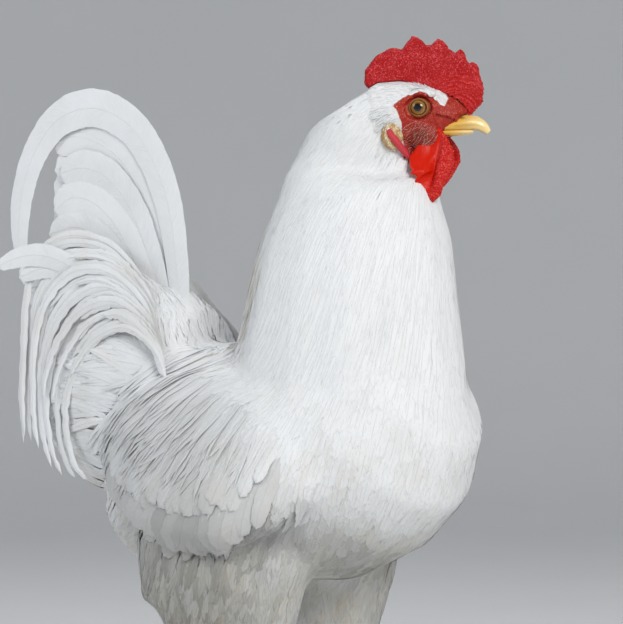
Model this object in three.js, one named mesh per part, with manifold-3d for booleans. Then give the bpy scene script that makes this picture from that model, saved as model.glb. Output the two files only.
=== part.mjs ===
// A white single-combed rooster at life size, standing square with its head turned a little to its left.
// Millimetres, +Z up. The bird faces +X, its left side is +Y, and the soles of its toes are flat at Z = 0.
// Feathered parts are solids of the plumage's outer surface. Every part is parted from its neighbours by GAP.

import * as THREE from "three";
import { mergeVertices } from "three/addons/utils/BufferGeometryUtils.js";
import Module from "manifold-3d";

const wasm = await Module();
wasm.setup();

// ---------------------------------------------------------------- driving dimensions

const GAP = 0.35; // clearance between neighbouring parts
const LEFT = new THREE.Vector3(0, 1, 0);
const SIDES = { left: 1, right: -1 };
const FINEST = 0.08; // details smaller than this are smoothed away

// The head's own frame: origin midway between the eyes, +X to the beak, +Z to the comb.
const HEAD = { at: [103, 18.5, 504], yaw: 27 };

// Lofted parts. Each station is [x, y, z, half width, half depth, turn in degrees], strung on one smooth curve.
const TRUNK = {
  stations: [
    [-114, 0, 298, 28, 46],
    [-84, 0, 290, 48, 62],
    [-44, 0, 283, 66, 72],
    [0, 0, 278, 77, 81],
    [44, 0, 281, 80, 84],
    [82, 0, 296, 72, 75],
    [108, 0, 317, 54, 58],
  ],
  domes: [16, 28],
  sides: 16,
  steps: 9,
};
const NECK = {
  stations: [
    [60, 0, 306, 68, 86, 0],
    [61, 0, 350, 64, 81, 0],
    [63, 1.5, 395, 60, 71, 0],
    [61.5, 4, 429, 53, 65, 3],
    [56, 4, 453, 46, 53.5, 11],
    [57, 2, 473, 33, 36, 23],
    [65, 1, 484, 26.5, 28.5, 27],
    [71, 3, 493.5, 22.5, 23, 27],
    [75.5, 5, 501, 18.5, 18.5, 27],
    [81, 8, 509, 13, 13.5, 27],
  ],
  domes: [10, 5],
  egg: 0.16,
  sides: 14,
  steps: 10,
};

const SKULL = {
  stations: [
    [-30, 0, -6, 19, 24],
    [-12, 0, -6.5, 18, 25.5],
    [6, 0, -5.5, 15.5, 20.5],
    [19, 0, -6.5, 11, 14],
    [27, 0, -8.5, 7.5, 9.5],
  ],
  domes: [10, 3],
  sides: 12,
  steps: 5,
};
const EYE = { radius: 6.8, side: 10.2 }; // eyeballs, set well into the skull
const UPPER_BEAK = {
  stations: [
    [12, 0, -13, 7.2, 2.6],
    [20, 0, -11.4, 6.4, 4.4],
    [29, 0, -10.7, 5.0, 5.0],
    [35.5, 0, -11.9, 3.4, 4.4],
    [39.5, 0, -14.5, 2.0, 2.9],
    [41.4, 0, -17.2, 0.9, 1.4],
  ],
  domes: [2, 1.2],
  domeSteps: 2,
  sides: 10,
};
const LOWER_BEAK = {
  stations: [
    [12, 0, -17.2, 6.0, 2.4],
    [21, 0, -17.0, 4.4, 2.2],
    [30, 0, -16.8, 2.4, 1.3],
  ],
  domes: [2, 2],
  domeSteps: 2,
  sides: 8,
};

// Comb: [angle in degrees, radius] round its own centre, from the rear lobe over the points to the beak.
const COMB = {
  centre: [4, 8],
  thickness: 5.2,
  rim: 1.9,
  outline: [
    [176, 35],
    [168, 43.8],
    [155, 45.8],
    [140, 43.8],
    [126, 40.2],
    [117, 35.4],
    [110, 39],
    [104, 41.4],
    [98, 38],
    [90, 31.8],
    [84, 36.2],
    [79, 38.8],
    [72, 35.5],
    [62, 32.4],
    [53, 35.7],
    [45, 34.2],
    [39, 33.6],
    [33, 36.6],
    [15, 36.4],
    [-3, 36.2],
    [-18, 32],
    [-29, 29.4],
  ],
  foot: [
    [20, -8],
    [-8, 0],
    [-24, 4],
  ],
};

// Wattle and earlobe outlines in the head's X and Z.
const WATTLE = {
  side: 9.5,
  splay: 10,
  swing: { left: 5, right: 0 }, // the left one is carried a little back and shorter
  drop: { left: 0.84, right: 1 },
  thickness: 3.6,
  rim: 1.3,
  outline: [
    [13.8, -15],
    [19.3, -21],
    [23.5, -29.6],
    [23.5, -38],
    [18.6, -47.6],
    [16, -54.4],
    [11.6, -60],
    [6.3, -65.5],
    [2.8, -60],
    [-1.7, -49.3],
    [-5.2, -38],
    [-6, -32],
    [0, -22],
  ],
};
const EARLOBE = { at: [-17, 16.2, -18], half: [7.6, 4.6, 10.2], lean: -14 };

// Wings lie on the body's sides, tops leaning in towards the back.
const WING = {
  stations: [
    [80, 54, 296, 12, 26],
    [56, 61, 288, 22, 50],
    [10, 63, 279, 26, 62],
    [-42, 57, 281, 25, 58],
    [-88, 45, 287, 19, 44],
    [-120, 34, 288, 11, 26],
  ],
  domes: [8, 14],
  lean: 17,
  sides: 12,
  steps: 8,
};

// Soft fluff between the thighs and the root of the tail.
const VENT = {
  stations: [
    [-66, 0, 238, 50, 44],
    [-100, 0, 238, 47, 42],
    [-130, 0, 246, 34, 33],
  ],
  domes: [10, 14],
  sides: 12,
  steps: 3,
};

const THIGH = {
  stations: [
    [-8, 40, 250, 34, 66],
    [-14, 45, 208, 38, 72],
    [-11, 46, 180, 36, 62],
    [-17, 46, 153, 27, 42],
    [-26, 45, 130, 17, 23],
    [-31, 45, 113, 10.5, 12.5],
  ],
  domes: [8, 6],
  sides: 12,
  steps: 6,
};

// Legs: the shank runs from the hock down and forward to the foot, whose toes spread from one joint.
const SHANK = { hock: [-32, 45, 108], foot: [-1, 46, 11], wide: [8.4, 6.2, 6.0, 7.4], deep: [10, 7.2, 6.8, 8] };
const FOOT = { turn: 8, rise: 5.6 };
const TOES = {
  middle: { angle: 0, length: 66, radius: 5.8 },
  inner: { angle: -38, length: 50, radius: 5.3 },
  outer: { angle: 34, length: 54, radius: 5.3 },
  hind: { angle: 197, length: 33, radius: 4.6 },
};
const CLAW = { length: 15, radius: 3.1 };
const SPUR = { share: 0.62, length: 15, radius: 4.2 };

// Tail. Fan feathers spring from one root; the longer ones are arcs through the points given for the left side.
const COVERTS = {
  stations: [
    [-74, 0, 326, 40, 54],
    [-116, 0, 322, 44, 78],
    [-156, 0, 326, 40, 78],
    [-190, 0, 335, 30, 60],
    [-214, 0, 344, 14, 30],
  ],
  domes: [12, 7],
  sides: 14,
  steps: 5,
};
// Each side's fan of main tail feathers, an outline in X and Z on a plate that leans out below its top edge.
const FAN = {
  top: 528,
  side: 3.6,
  lean: 7,
  thickness: 5,
  rim: 2,
  outline: [
    [-112, 335],
    [-101, 370],
    [-103, 406],
    [-104.5, 431],
    [-109, 457],
    [-115.5, 482],
    [-131, 507],
    [-148, 519],
    [-174, 527],
    [-194, 529],
    [-206, 508],
    [-209, 478],
    [-209, 445],
    [-215, 429],
    [-240, 424],
    [-250, 411],
    [-245, 397],
    [-228, 385],
    [-220, 364],
    [-188, 338],
    [-140, 325],
  ],
};
const QUILL_THICKNESS = 2.4;
// Long tail feathers, given for the left side: the points of each one's arc from root to tip.
const SICKLES = {
  main: {
    halfWidth: 13,
    reach: { left: 0.9, right: 1 },
    points: [
      [-94, 14, 352],
      [-119, 21, 412],
      [-140, 21, 476],
      [-179, 21, 521],
      [-213, 21, 500],
      [-230, 22, 450],
      [-233, 23, 408],
    ],
  },
  second: {
    halfWidth: 11.5,
    reach: { left: 1, right: 1 },
    points: [
      [-96, 18, 344],
      [-122, 25, 396],
      [-148, 28, 446],
      [-181, 29, 470],
      [-206, 30, 446],
      [-214, 31, 400],
    ],
  },
  low: {
    halfWidth: 8,
    reach: { left: 1, right: 1 },
    points: [
      [-112, 26, 352],
      [-150, 34, 386],
      [-186, 36, 403],
      [-214, 37, 409],
      [-238, 38, 406],
    ],
  },
};
// Drooping side feathers, which grow from the coverts and hang over their rear.
const HANGING = {
  halfWidth: 7,
  arcs: [
    [
      [-108, 38, 346],
      [-150, 33, 380],
      [-196, 28, 374],
      [-221, 24, 336],
      [-225, 25, 302],
      [-220, 27, 272],
    ],
    [
      [-106, 41, 334],
      [-150, 38, 360],
      [-186, 31, 346],
      [-204, 29, 308],
      [-201, 31, 280],
      [-190, 34, 256],
    ],
    [
      [-100, 44, 322],
      [-140, 43, 338],
      [-170, 39, 318],
      [-178, 38, 290],
      [-170, 38, 268],
      [-146, 39, 246],
    ],
  ],
};

// ---------------------------------------------------------------- finishes

const finish = (color, roughness) => new THREE.MeshStandardMaterial({ color, roughness, metalness: 0 });
const FINISHES = {
  plumage: finish(0xeceef0, 0.85),
  quill: finish(0xf2f3f5, 0.7),
  face: finish(0xb8403c, 0.6),
  comb: finish(0xc01a20, 0.55),
  lobe: finish(0xe6dcb4, 0.65),
  horn: finish(0xe3c25a, 0.35),
  eye: finish(0x8a5a1c, 0.1),
  scale: finish(0xdcae3c, 0.5),
};

// ---------------------------------------------------------------- shaping tools

const radians = THREE.MathUtils.degToRad;

/** A cubic through [place, value] knots that stays between neighbouring values. */
function profile(knots) {
  const slopes = knots.slice(1).map(([t, v], i) => (v - knots[i][1]) / (t - knots[i][0]));
  const tangents = knots.map((_, i) => {
    const [before, after] = [slopes[i - 1] ?? slopes[i], slopes[i] ?? slopes[i - 1]];
    return before * after > 0 ? (2 * before * after) / (before + after) : 0;
  });
  return (t) => {
    const i = Math.max(0, Math.min(knots.length - 2, knots.findIndex(([place]) => place > t) - 1));
    const last = t >= knots.at(-1)[0] ? knots.length - 2 : i;
    const [[t0, v0], [t1, v1]] = [knots[last], knots[last + 1]];
    const span = t1 - t0;
    const s = THREE.MathUtils.clamp((t - t0) / span, 0, 1);
    const [s2, s3] = [s * s, s * s * s];
    const ends = (2 * s3 - 3 * s2 + 1) * v0 + (3 * s2 - 2 * s3) * v1;
    return ends + span * ((s3 - 2 * s2 + s) * tangents[last] + (s3 - s2) * tangents[last + 1]);
  };
}

/** Mirrors a list of stations or points to the bird's right side when side is -1. */
const onSide = (side, points) => points.map(([x, y, ...rest]) => [x, y * side, ...rest]);

/**
 * A closed surface over elliptic rings strung on a smooth curve through the stations. Half widths run along the
 * lateral direction and half depths across it; the domes round off the two ends, and egg narrows the rings' fronts.
 */
function loft({ stations, domes, sides, steps, domeSteps = 3, lateral = LEFT, egg = 0, grow = 0 }) {
  const centres = stations.map(([x, y, z]) => new THREE.Vector3(x, y, z));
  const spine = new THREE.CatmullRomCurve3(centres, false, "centripetal");
  const last = stations.length - 1;
  const wide = profile(stations.map((s, i) => [i / last, s[3] + grow]));
  const deep = profile(stations.map((s, i) => [i / last, s[4] + grow]));
  const turn = profile(stations.map((s, i) => [i / last, radians(s[5] ?? 0)]));
  const rings = [];
  const addRing = (t, along, scale) => {
    const tangent = spine.getTangent(t);
    const turned = lateral.clone().applyAxisAngle(tangent, turn(t));
    const across = turned.addScaledVector(tangent, -turned.dot(tangent)).normalize();
    const upright = tangent.clone().cross(across);
    const centre = spine.getPoint(t).addScaledVector(tangent, along);
    rings.push({ centre, across, upright, w: wide(t) * scale, d: deep(t) * scale });
  };
  for (let k = 0; k < domeSteps; k += 1) {
    const angle = ((1 - k / domeSteps) * Math.PI) / 2;
    addRing(0, -(domes[0] + grow) * Math.sin(angle), Math.cos(angle));
  }
  const spans = steps ?? last;
  for (let k = 0; k <= spans; k += 1) addRing(k / spans, 0, 1);
  for (let k = 1; k <= domeSteps; k += 1) {
    const angle = ((k / domeSteps) * Math.PI) / 2;
    addRing(1, (domes[1] + grow) * Math.sin(angle), Math.cos(angle));
  }
  const positions = [];
  const index = [];
  rings[0].w = rings[0].d = rings.at(-1).w = rings.at(-1).d = 0;
  rings.forEach(({ centre, across, upright, w, d }) => {
    for (let j = 0; j < sides; j += 1) {
      const angle = (j / sides) * 2 * Math.PI;
      const sideways = w * Math.cos(angle) * (1 + egg * Math.sin(angle));
      const up = d * Math.sin(angle);
      const point = centre.clone().addScaledVector(across, sideways).addScaledVector(upright, up);
      positions.push(point.x, point.y, point.z);
    }
  });
  for (let i = 0; i < rings.length - 1; i += 1) {
    for (let j = 0; j < sides; j += 1) {
      const [a, b] = [i * sides + j, i * sides + ((j + 1) % sides)];
      if (i > 0) index.push(a, b, b + sides);
      if (i > 0 && i < rings.length - 2) index.push(a, b + sides, a + sides);
      if (i === 0) index.push(a, b + sides, a + sides);
    }
  }
  const surface = new THREE.BufferGeometry().setIndex(index);
  return surface.setAttribute("position", new THREE.Float32BufferAttribute(positions, 3));
}

/** A manifold solid of a closed geometry, moved by a matrix where one is given. */
function solid(geometry, matrix = new THREE.Matrix4()) {
  const bare = new THREE.BufferGeometry().setAttribute("position", geometry.getAttribute("position").clone());
  if (geometry.index) bare.setIndex(geometry.index.clone());
  const merged = mergeVertices(bare.applyMatrix4(matrix), 1e-4);
  const corners = merged.index.array;
  const kept = [];
  for (let i = 0; i < corners.length; i += 3) {
    const [a, b, c] = [corners[i], corners[i + 1], corners[i + 2]];
    if (a === b || b === c || c === a) continue;
    if (matrix.determinant() < 0) kept.push(a, c, b);
    else kept.push(a, b, c);
  }
  const mesh = { numProp: 3, vertProperties: merged.getAttribute("position").array, triVerts: new Uint32Array(kept) };
  return new wasm.Manifold(new wasm.Mesh(mesh));
}

/** The biggest single body of a solid that a cut may have left in several. */
const largest = (shape) => shape.decompose().reduce((best, body) => (body.volume() > best.volume() ? body : best));

/** The solid without its neighbours, as one body. */
const cutBy = (shape, ...neighbours) => largest(neighbours.reduce((rest, n) => rest.subtract(n), shape));

/** The solid above height z. */
const above = (shape, z) => largest(shape.trimByPlane([0, 0, 1], z));

/** A named mesh of a solid, placed by its own middle. */
function mesh(name, shape, material) {
  const { numProp, vertProperties, triVerts } = shape.simplify(FINEST).getMesh();
  const positions = new Float32Array((vertProperties.length / numProp) * 3);
  for (let i = 0; i < positions.length / 3; i += 1) {
    positions.set(vertProperties.subarray(i * numProp, i * numProp + 3), i * 3);
  }
  const geometry = new THREE.BufferGeometry();
  geometry.setAttribute("position", new THREE.BufferAttribute(positions, 3));
  geometry.setIndex(new THREE.BufferAttribute(new Uint32Array(triVerts), 1));
  geometry.computeBoundingBox();
  const centre = geometry.boundingBox.getCenter(new THREE.Vector3()).round();
  geometry.translate(-centre.x, -centre.y, -centre.z).computeVertexNormals();
  const made = new THREE.Mesh(geometry, material);
  made.name = name;
  made.position.copy(centre);
  return made;
}

/** A group of parts, held where they are. */
const group = (parts) => new THREE.Group().add(...parts);

/** A flat lobe with a rounded rim: an outline in X and Z, centred on Y = 0. */
function lobe(outline, thickness, rim, grow = 0) {
  const shape = new THREE.Shape();
  const [first, ...rest] = outline.map(([x, z]) => new THREE.Vector2(x, z));
  shape.moveTo(first.x, first.y);
  shape.splineThru(rest);
  shape.closePath();
  const depth = thickness - 2 * rim;
  const bevel = { bevelThickness: rim + grow, bevelSize: rim + grow, bevelOffset: -rim, bevelSegments: 1 };
  const settings = { depth, curveSegments: 1, ...bevel };
  return new THREE.ExtrudeGeometry(shape, settings).translate(0, 0, -depth / 2).rotateX(Math.PI / 2);
}

/** A feather blade: a thin leaf through the points, its width in the plane of the arc. */
function blade(points, halfWidth, { sides = 6, grow = 0 } = {}) {
  const leaf = profile([
    [0, 0.45],
    [0.25, 0.85],
    [0.6, 1],
    [0.85, 0.72],
    [1, 0.3],
  ]);
  const stations = points.map(([x, y, z], i) => {
    const share = i / (points.length - 1);
    return [x, y, z, (QUILL_THICKNESS / 2) * (1 - 0.4 * share), halfWidth * leaf(share)];
  });
  return loft({ stations, domes: [3, halfWidth * 0.6], domeSteps: 1, sides, steps: 7, grow });
}

// ---------------------------------------------------------------- the parts

const headMatrix = new THREE.Matrix4()
  .makeRotationZ(radians(HEAD.yaw))
  .setPosition(...HEAD.at);

/** Head solids are made in the head's own frame. */
const inHead = (geometry) => solid(geometry, headMatrix);

const trunk = (grow = 0) => solid(loft({ ...TRUNK, grow }));
const neckMass = (grow = 0) => solid(loft({ ...NECK, grow }));
const skullMass = (grow = 0) => inHead(loft({ ...SKULL, grow }));
const trunkClear = trunk(GAP);
const neckAndSkullClear = neckMass(GAP).add(skullMass(GAP));

/** The upper beak, which closes over the lower one. */
const upperBeak = (grow = 0) => inHead(loft({ ...UPPER_BEAK, grow }));

/** One eyeball, looking out from the side of the skull. */
const eyeball = (side, grow = 0) =>
  inHead(new THREE.SphereGeometry(EYE.radius + grow, 10, 6).translate(0, side * EYE.side, 0));

/** One wattle, hung from its front root and splayed outwards. */
function wattle(word) {
  const side = SIDES[word];
  const [x, z] = WATTLE.outline[0];
  const flat = lobe(WATTLE.outline, WATTLE.thickness, WATTLE.rim);
  flat.translate(-x, 0, -z).scale(1, 1, WATTLE.drop[word]);
  flat.rotateY(radians(WATTLE.swing[word])).rotateX(radians(side * WATTLE.splay));
  return inHead(flat.translate(x, side * WATTLE.side, z));
}

/** The earlobe, a soft flat drop behind the cheek. */
function earlobe(side, grow = 0) {
  const [x, y, z] = EARLOBE.at;
  const drop = new THREE.SphereGeometry(1, 9, 6).scale(...EARLOBE.half.map((half) => half + grow));
  return inHead(drop.rotateY(radians(EARLOBE.lean)).translate(x, side * y, z));
}

/** The comb's blade, from the rear lobe over five points to the root of the beak. */
function comb() {
  const [cx, cz] = COMB.centre;
  const arc = COMB.outline.map(([angle, radius]) => {
    const a = radians(angle);
    return [cx + radius * Math.cos(a), cz + radius * Math.sin(a)];
  });
  return inHead(lobe([...arc, ...COMB.foot], COMB.thickness, COMB.rim));
}

function headParts() {
  const beakClear = upperBeak(GAP);
  const eyesClear = Object.values(SIDES).map((side) => eyeball(side, GAP));
  const lowerBeak = inHead(loft({ ...LOWER_BEAK }));
  const lowerBeakClear = inHead(loft({ ...LOWER_BEAK, grow: GAP }));
  const head = cutBy(skullMass(), beakClear, lowerBeakClear, ...eyesClear);
  const beakAndSkull = [neckAndSkullClear, beakClear, lowerBeakClear];
  const made = [
    mesh("head", head, FINISHES.face),
    mesh("beak_upper", upperBeak(), FINISHES.horn),
    mesh("beak_lower", cutBy(lowerBeak, beakClear), FINISHES.horn),
    mesh("comb", cutBy(comb(), ...beakAndSkull, trunkClear), FINISHES.comb),
  ];
  for (const [word, side] of Object.entries(SIDES)) {
    made.push(mesh(`eye_${word}`, eyeball(side), FINISHES.eye));
    made.push(mesh(`earlobe_${word}`, cutBy(earlobe(side), ...beakAndSkull), FINISHES.lobe));
    made.push(mesh(`wattle_${word}`, cutBy(wattle(word), ...beakAndSkull, earlobe(side, GAP)), FINISHES.comb));
  }
  return made;
}

const wingMass = (side, grow = 0) => {
  const lean = radians(WING.lean);
  const lateral = new THREE.Vector3(0, Math.cos(lean), side * Math.sin(lean));
  return solid(loft({ ...WING, stations: onSide(side, WING.stations), lateral, grow }));
};
const ventMass = (grow = 0) => solid(loft({ ...VENT, grow }));
const thighMass = (side, grow = 0) => solid(loft({ ...THIGH, stations: onSide(side, THIGH.stations), grow }));

const shankEnds = (side) => onSide(side, [SHANK.hock, SHANK.foot]).map((p) => new THREE.Vector3(...p));

/** The shank: a slim round-backed column, swollen at the hock and the foot. */
function shankMass(side, grow = 0) {
  const [hock, foot] = shankEnds(side);
  const stations = SHANK.wide.map((w, i) => {
    const share = i / (SHANK.wide.length - 1);
    return [...hock.clone().lerp(foot, share).toArray(), w, SHANK.deep[i]];
  });
  return solid(loft({ stations, domes: [6, 5], domeSteps: 2, sides: 8, grow }));
}

/** A toe's level direction from the foot. */
function toeHeading(side, { angle }) {
  const heading = radians(side * (FOOT.turn + angle));
  return new THREE.Vector3(Math.cos(heading), Math.sin(heading), 0);
}

/** Stations along a toe from the foot's joint: the pads swell at its joints, and it lies on the floor. */
function toeStations(side, toe) {
  const { length, radius } = toe;
  const heading = toeHeading(side, toe);
  const [x, y] = [SHANK.foot[0], side * SHANK.foot[1]];
  const shares = [0, 0.34, 0.7, 1];
  const swell = [1.1, 0.96, 0.88, 0.62];
  return shares.map((share, i) => {
    const r = radius * swell[i];
    const reach = share * length;
    const z = i === 0 ? FOOT.rise + 1.5 : r * 0.86;
    return [x + reach * heading.x, y + reach * heading.y, z, r, r];
  });
}

/** The toe's own crosswise direction, level with the floor. */
const acrossToe = (side, toe) => new THREE.Vector3(0, 0, 1).cross(toeHeading(side, toe));

function toeMass(side, toe, grow = 0) {
  const lateral = acrossToe(side, toe);
  return solid(loft({ stations: toeStations(side, toe), domes: [3, 2], domeSteps: 2, sides: 6, lateral, grow }));
}

/** A claw carries on from its toe and curves down to the floor. */
function claw(side, toe) {
  const heading = toeHeading(side, toe);
  const [x, y, z] = toeStations(side, toe).at(-1);
  const shares = [-0.3, 0.1, 0.6, 1];
  const rises = [0.9, 1.3, 0.3, -1.5];
  const thin = [0.8, 0.82, 0.5, 0.18];
  const stations = shares.map((share, i) => {
    const reach = share * CLAW.length;
    const r = CLAW.radius * thin[i];
    return [x + reach * heading.x, y + reach * heading.y, z + rises[i], r, r * 1.15];
  });
  return solid(loft({ stations, domes: [1, 0.6], domeSteps: 1, sides: 5, lateral: acrossToe(side, toe) }));
}

/** The spur: a blunt cone on the inner back of the shank. */
function spur(side) {
  const [hock, foot] = shankEnds(side);
  const root = hock.lerp(foot, SPUR.share);
  const aim = new THREE.Vector3(-0.72, -side * 0.62, 0.14).normalize();
  const sizes = [1, 0.85, 0.6, 0.25];
  const stations = sizes.map((share, i) => {
    const point = root.clone().addScaledVector(aim, 4 + (i / (sizes.length - 1)) * SPUR.length);
    return [point.x, point.y, point.z + 0.2 * i * i, SPUR.radius * share, SPUR.radius * share];
  });
  return solid(loft({ stations, domes: [0.5, 1], domeSteps: 1, sides: 6 }));
}

function legParts() {
  const made = [];
  for (const [word, side] of Object.entries(SIDES)) {
    made.push(mesh(`thigh_${word}`, cutBy(thighMass(side), trunkClear, ventMass(GAP)), FINISHES.plumage));
    const shank = cutBy(above(shankMass(side), FOOT.rise - 1), thighMass(side, GAP));
    const shankClear = shankMass(side, GAP);
    made.push(mesh(`shank_${word}`, shank, FINISHES.scale));
    made.push(mesh(`spur_${word}`, cutBy(spur(side), shankClear), FINISHES.horn));
    const toesBefore = [shankClear];
    for (const [toeWord, toe] of Object.entries(TOES)) {
      const lying = above(toeMass(side, toe), 0);
      made.push(mesh(`toe_${word}_${toeWord}`, cutBy(lying, ...toesBefore), FINISHES.scale));
      toesBefore.push(toeMass(side, toe, GAP));
      const nail = cutBy(above(claw(side, toe), 0), toeMass(side, toe, GAP));
      made.push(mesh(`claw_${word}_${toeWord}`, nail, FINISHES.horn));
    }
  }
  return made;
}

/** The tail coverts: a soft mound with drooping feathers on both sides. */
function covertMass(grow = 0) {
  const mound = solid(loft({ ...COVERTS, grow }));
  const arcs = Object.values(SIDES).flatMap((side) => HANGING.arcs.map((arc) => onSide(side, arc)));
  const blades = arcs.map((arc) => solid(blade(arc, HANGING.halfWidth, { sides: 4, grow })));
  return blades.reduce((mass, feather) => mass.add(feather), mound);
}

/** One side's fan: the lobe is hung from its top edge and leans outwards. */
function fan(side, grow = 0) {
  const plate = lobe(FAN.outline, FAN.thickness, FAN.rim, grow).translate(0, 0, -FAN.top);
  plate.rotateX(radians(side * FAN.lean));
  return solid(plate.translate(0, side * FAN.side, FAN.top));
}

function tailParts() {
  const covertsClear = covertMass(GAP);
  const made = [mesh("tail_coverts", cutBy(covertMass(), trunkClear), FINISHES.plumage)];
  for (const [word, side] of Object.entries(SIDES)) {
    const before = [trunkClear, covertsClear];
    if (side === SIDES.right) before.push(fan(SIDES.left, GAP));
    made.push(mesh(`tail_fan_${word}`, cutBy(fan(side), ...before), FINISHES.quill));
    before.push(fan(side, GAP));
    for (const [kind, { points, halfWidth, reach }] of Object.entries(SICKLES)) {
      const [root] = points;
      const scaled = points.map((point) => point.map((v, i) => root[i] + (v - root[i]) * reach[word]));
      const arc = onSide(side, scaled);
      made.push(mesh(`sickle_${kind}_${word}`, cutBy(solid(blade(arc, halfWidth)), ...before), FINISHES.quill));
      before.push(solid(blade(arc, halfWidth, { grow: GAP })));
    }
  }
  return made;
}

function bodyParts() {
  const made = [
    mesh("trunk", trunk(), FINISHES.plumage),
    mesh("neck", cutBy(neckMass(), trunkClear, skullMass(GAP)), FINISHES.plumage),
    mesh("vent", cutBy(ventMass(), trunkClear, covertMass(GAP)), FINISHES.plumage),
  ];
  for (const [word, side] of Object.entries(SIDES)) {
    const neighbours = [trunkClear, neckAndSkullClear, thighMass(side, GAP), covertMass(GAP), ventMass(GAP)];
    made.push(mesh(`wing_${word}`, cutBy(wingMass(side), ...neighbours), FINISHES.plumage));
  }
  return made;
}

// ---------------------------------------------------------------- the bird

const rooster = new THREE.Group();
rooster.add(group(bodyParts()), group(headParts()), group(tailParts()), group(legParts()));

// The origin is under the middle of the whole bird, at floor level.
const box = new THREE.Box3().setFromObject(rooster);
const middle = box.getCenter(new THREE.Vector3());
rooster.position.set(-middle.x, -middle.y, -box.min.z);

export default rooster;
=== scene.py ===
"""Looks of a white single-combed rooster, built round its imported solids.

One skin replaces the solids of flesh and carries every feather as a thin closed vane; comb, wattles, earlobes,
eyes, beak, legs, claws and the long tail feathers are pieces of their own. Lengths are millimetres until a mesh
is made, and metres in Blender.
"""

import logging
import math
from collections.abc import Callable, Iterator, Sequence
from contextlib import contextmanager
from dataclasses import dataclass
from enum import Enum

import bpy
import numpy as np
from mathutils import Matrix, Vector
from mathutils.bvhtree import BVHTree


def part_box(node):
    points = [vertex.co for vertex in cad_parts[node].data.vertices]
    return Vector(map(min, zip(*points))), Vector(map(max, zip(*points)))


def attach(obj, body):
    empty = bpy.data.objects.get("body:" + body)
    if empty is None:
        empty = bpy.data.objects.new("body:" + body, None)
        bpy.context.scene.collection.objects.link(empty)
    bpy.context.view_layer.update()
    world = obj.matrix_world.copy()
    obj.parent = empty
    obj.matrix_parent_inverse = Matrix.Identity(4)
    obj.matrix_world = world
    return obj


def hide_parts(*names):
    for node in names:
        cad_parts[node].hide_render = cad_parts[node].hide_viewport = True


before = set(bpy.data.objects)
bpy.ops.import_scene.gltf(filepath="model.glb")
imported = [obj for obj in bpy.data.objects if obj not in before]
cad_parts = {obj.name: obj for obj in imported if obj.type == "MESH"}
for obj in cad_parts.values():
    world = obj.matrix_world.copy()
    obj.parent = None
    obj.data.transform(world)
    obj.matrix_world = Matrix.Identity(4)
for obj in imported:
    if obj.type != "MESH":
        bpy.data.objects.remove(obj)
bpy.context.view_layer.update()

LOG = logging.getLogger("rooster")
MM = 0.001
SIDES = {"left": 1, "right": -1}
FLESH = ("trunk", "neck", "head", "vent", "wing_left", "wing_right", "thigh_left", "thigh_right", "tail_coverts")
SHIFT = 49.83  # the body's own origin lies this far ahead of the row's
EYE_SIDE, EYE_RADIUS = 10.2, 6.8  # the eyeballs' middles, to each side of the head's, and their radius
TARGET = (0.0644, 0.0122, 0.373)  # what the camera and the lamps face, in metres
CAMERA_AZIMUTH, CAMERA_AWAY, CAMERA_LENS, SENSOR = 40.0, 1.7, 147.1, 36.0
LAMPS = (  # name, place, size, power and colour
    ("key", (1.9, -0.95, 1.6), 0.9, 36, (1, 0.985, 0.96)),
    ("fill", (-1.0, -1.4, 1.4), 0.9, 11.5, (0.93, 0.96, 1)),
    ("top", (-0.5, 0.7, 2.1), 1.2, 12, (1, 1, 1)),
)
AIR_COLOUR, AIR_STRENGTH = (0.93, 0.96, 1, 1), 0.235
PATCH, UNWRAP_SHARE = 0.003, 0.996  # a feather's patch on the coat's map, and how much of it the roots span
TRIES = 6  # roots thrown for each one that finds room
PAPILLA = 1.35  # the spacing of the grains on the bare face
SEED = 11

Colour = tuple[float, float, float]
Point = tuple[float, float, float]
Flat = tuple[float, float]


# ---------------------------------------------------------------- numbers and curves


def unit(vectors: np.ndarray) -> np.ndarray:
    """Scales vectors to length 1 along the last axis."""
    return vectors / np.maximum(np.linalg.norm(vectors, axis=-1, keepdims=True), 1e-9)


def beside(vectors: np.ndarray, axes: np.ndarray) -> np.ndarray:
    """The unit part of each vector at right angles to its axis."""
    return unit(vectors - (vectors * axes).sum(1, keepdims=True) * axes)


def smoothstep(low: float, high: float, values: np.ndarray) -> np.ndarray:
    """Rises smoothly from 0 at low to 1 at high."""
    t = np.clip((np.asarray(values, float) - low) / (high - low), 0, 1)
    return t * t * (3 - 2 * t)


def bell(values: np.ndarray, middle: float, width: float) -> np.ndarray:
    """Falls from 1 at the middle to 1/e a width away from it."""
    return np.exp(-(((values - middle) / width) ** 2))


def bell_at(x: np.ndarray, z: np.ndarray, middle: Flat, widths: Flat) -> np.ndarray:
    """Falls from 1 at a place in a plane, with its own width along each axis."""
    return np.exp(-(((x - middle[0]) / widths[0]) ** 2) - (((z - middle[1]) / widths[1]) ** 2))


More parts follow.
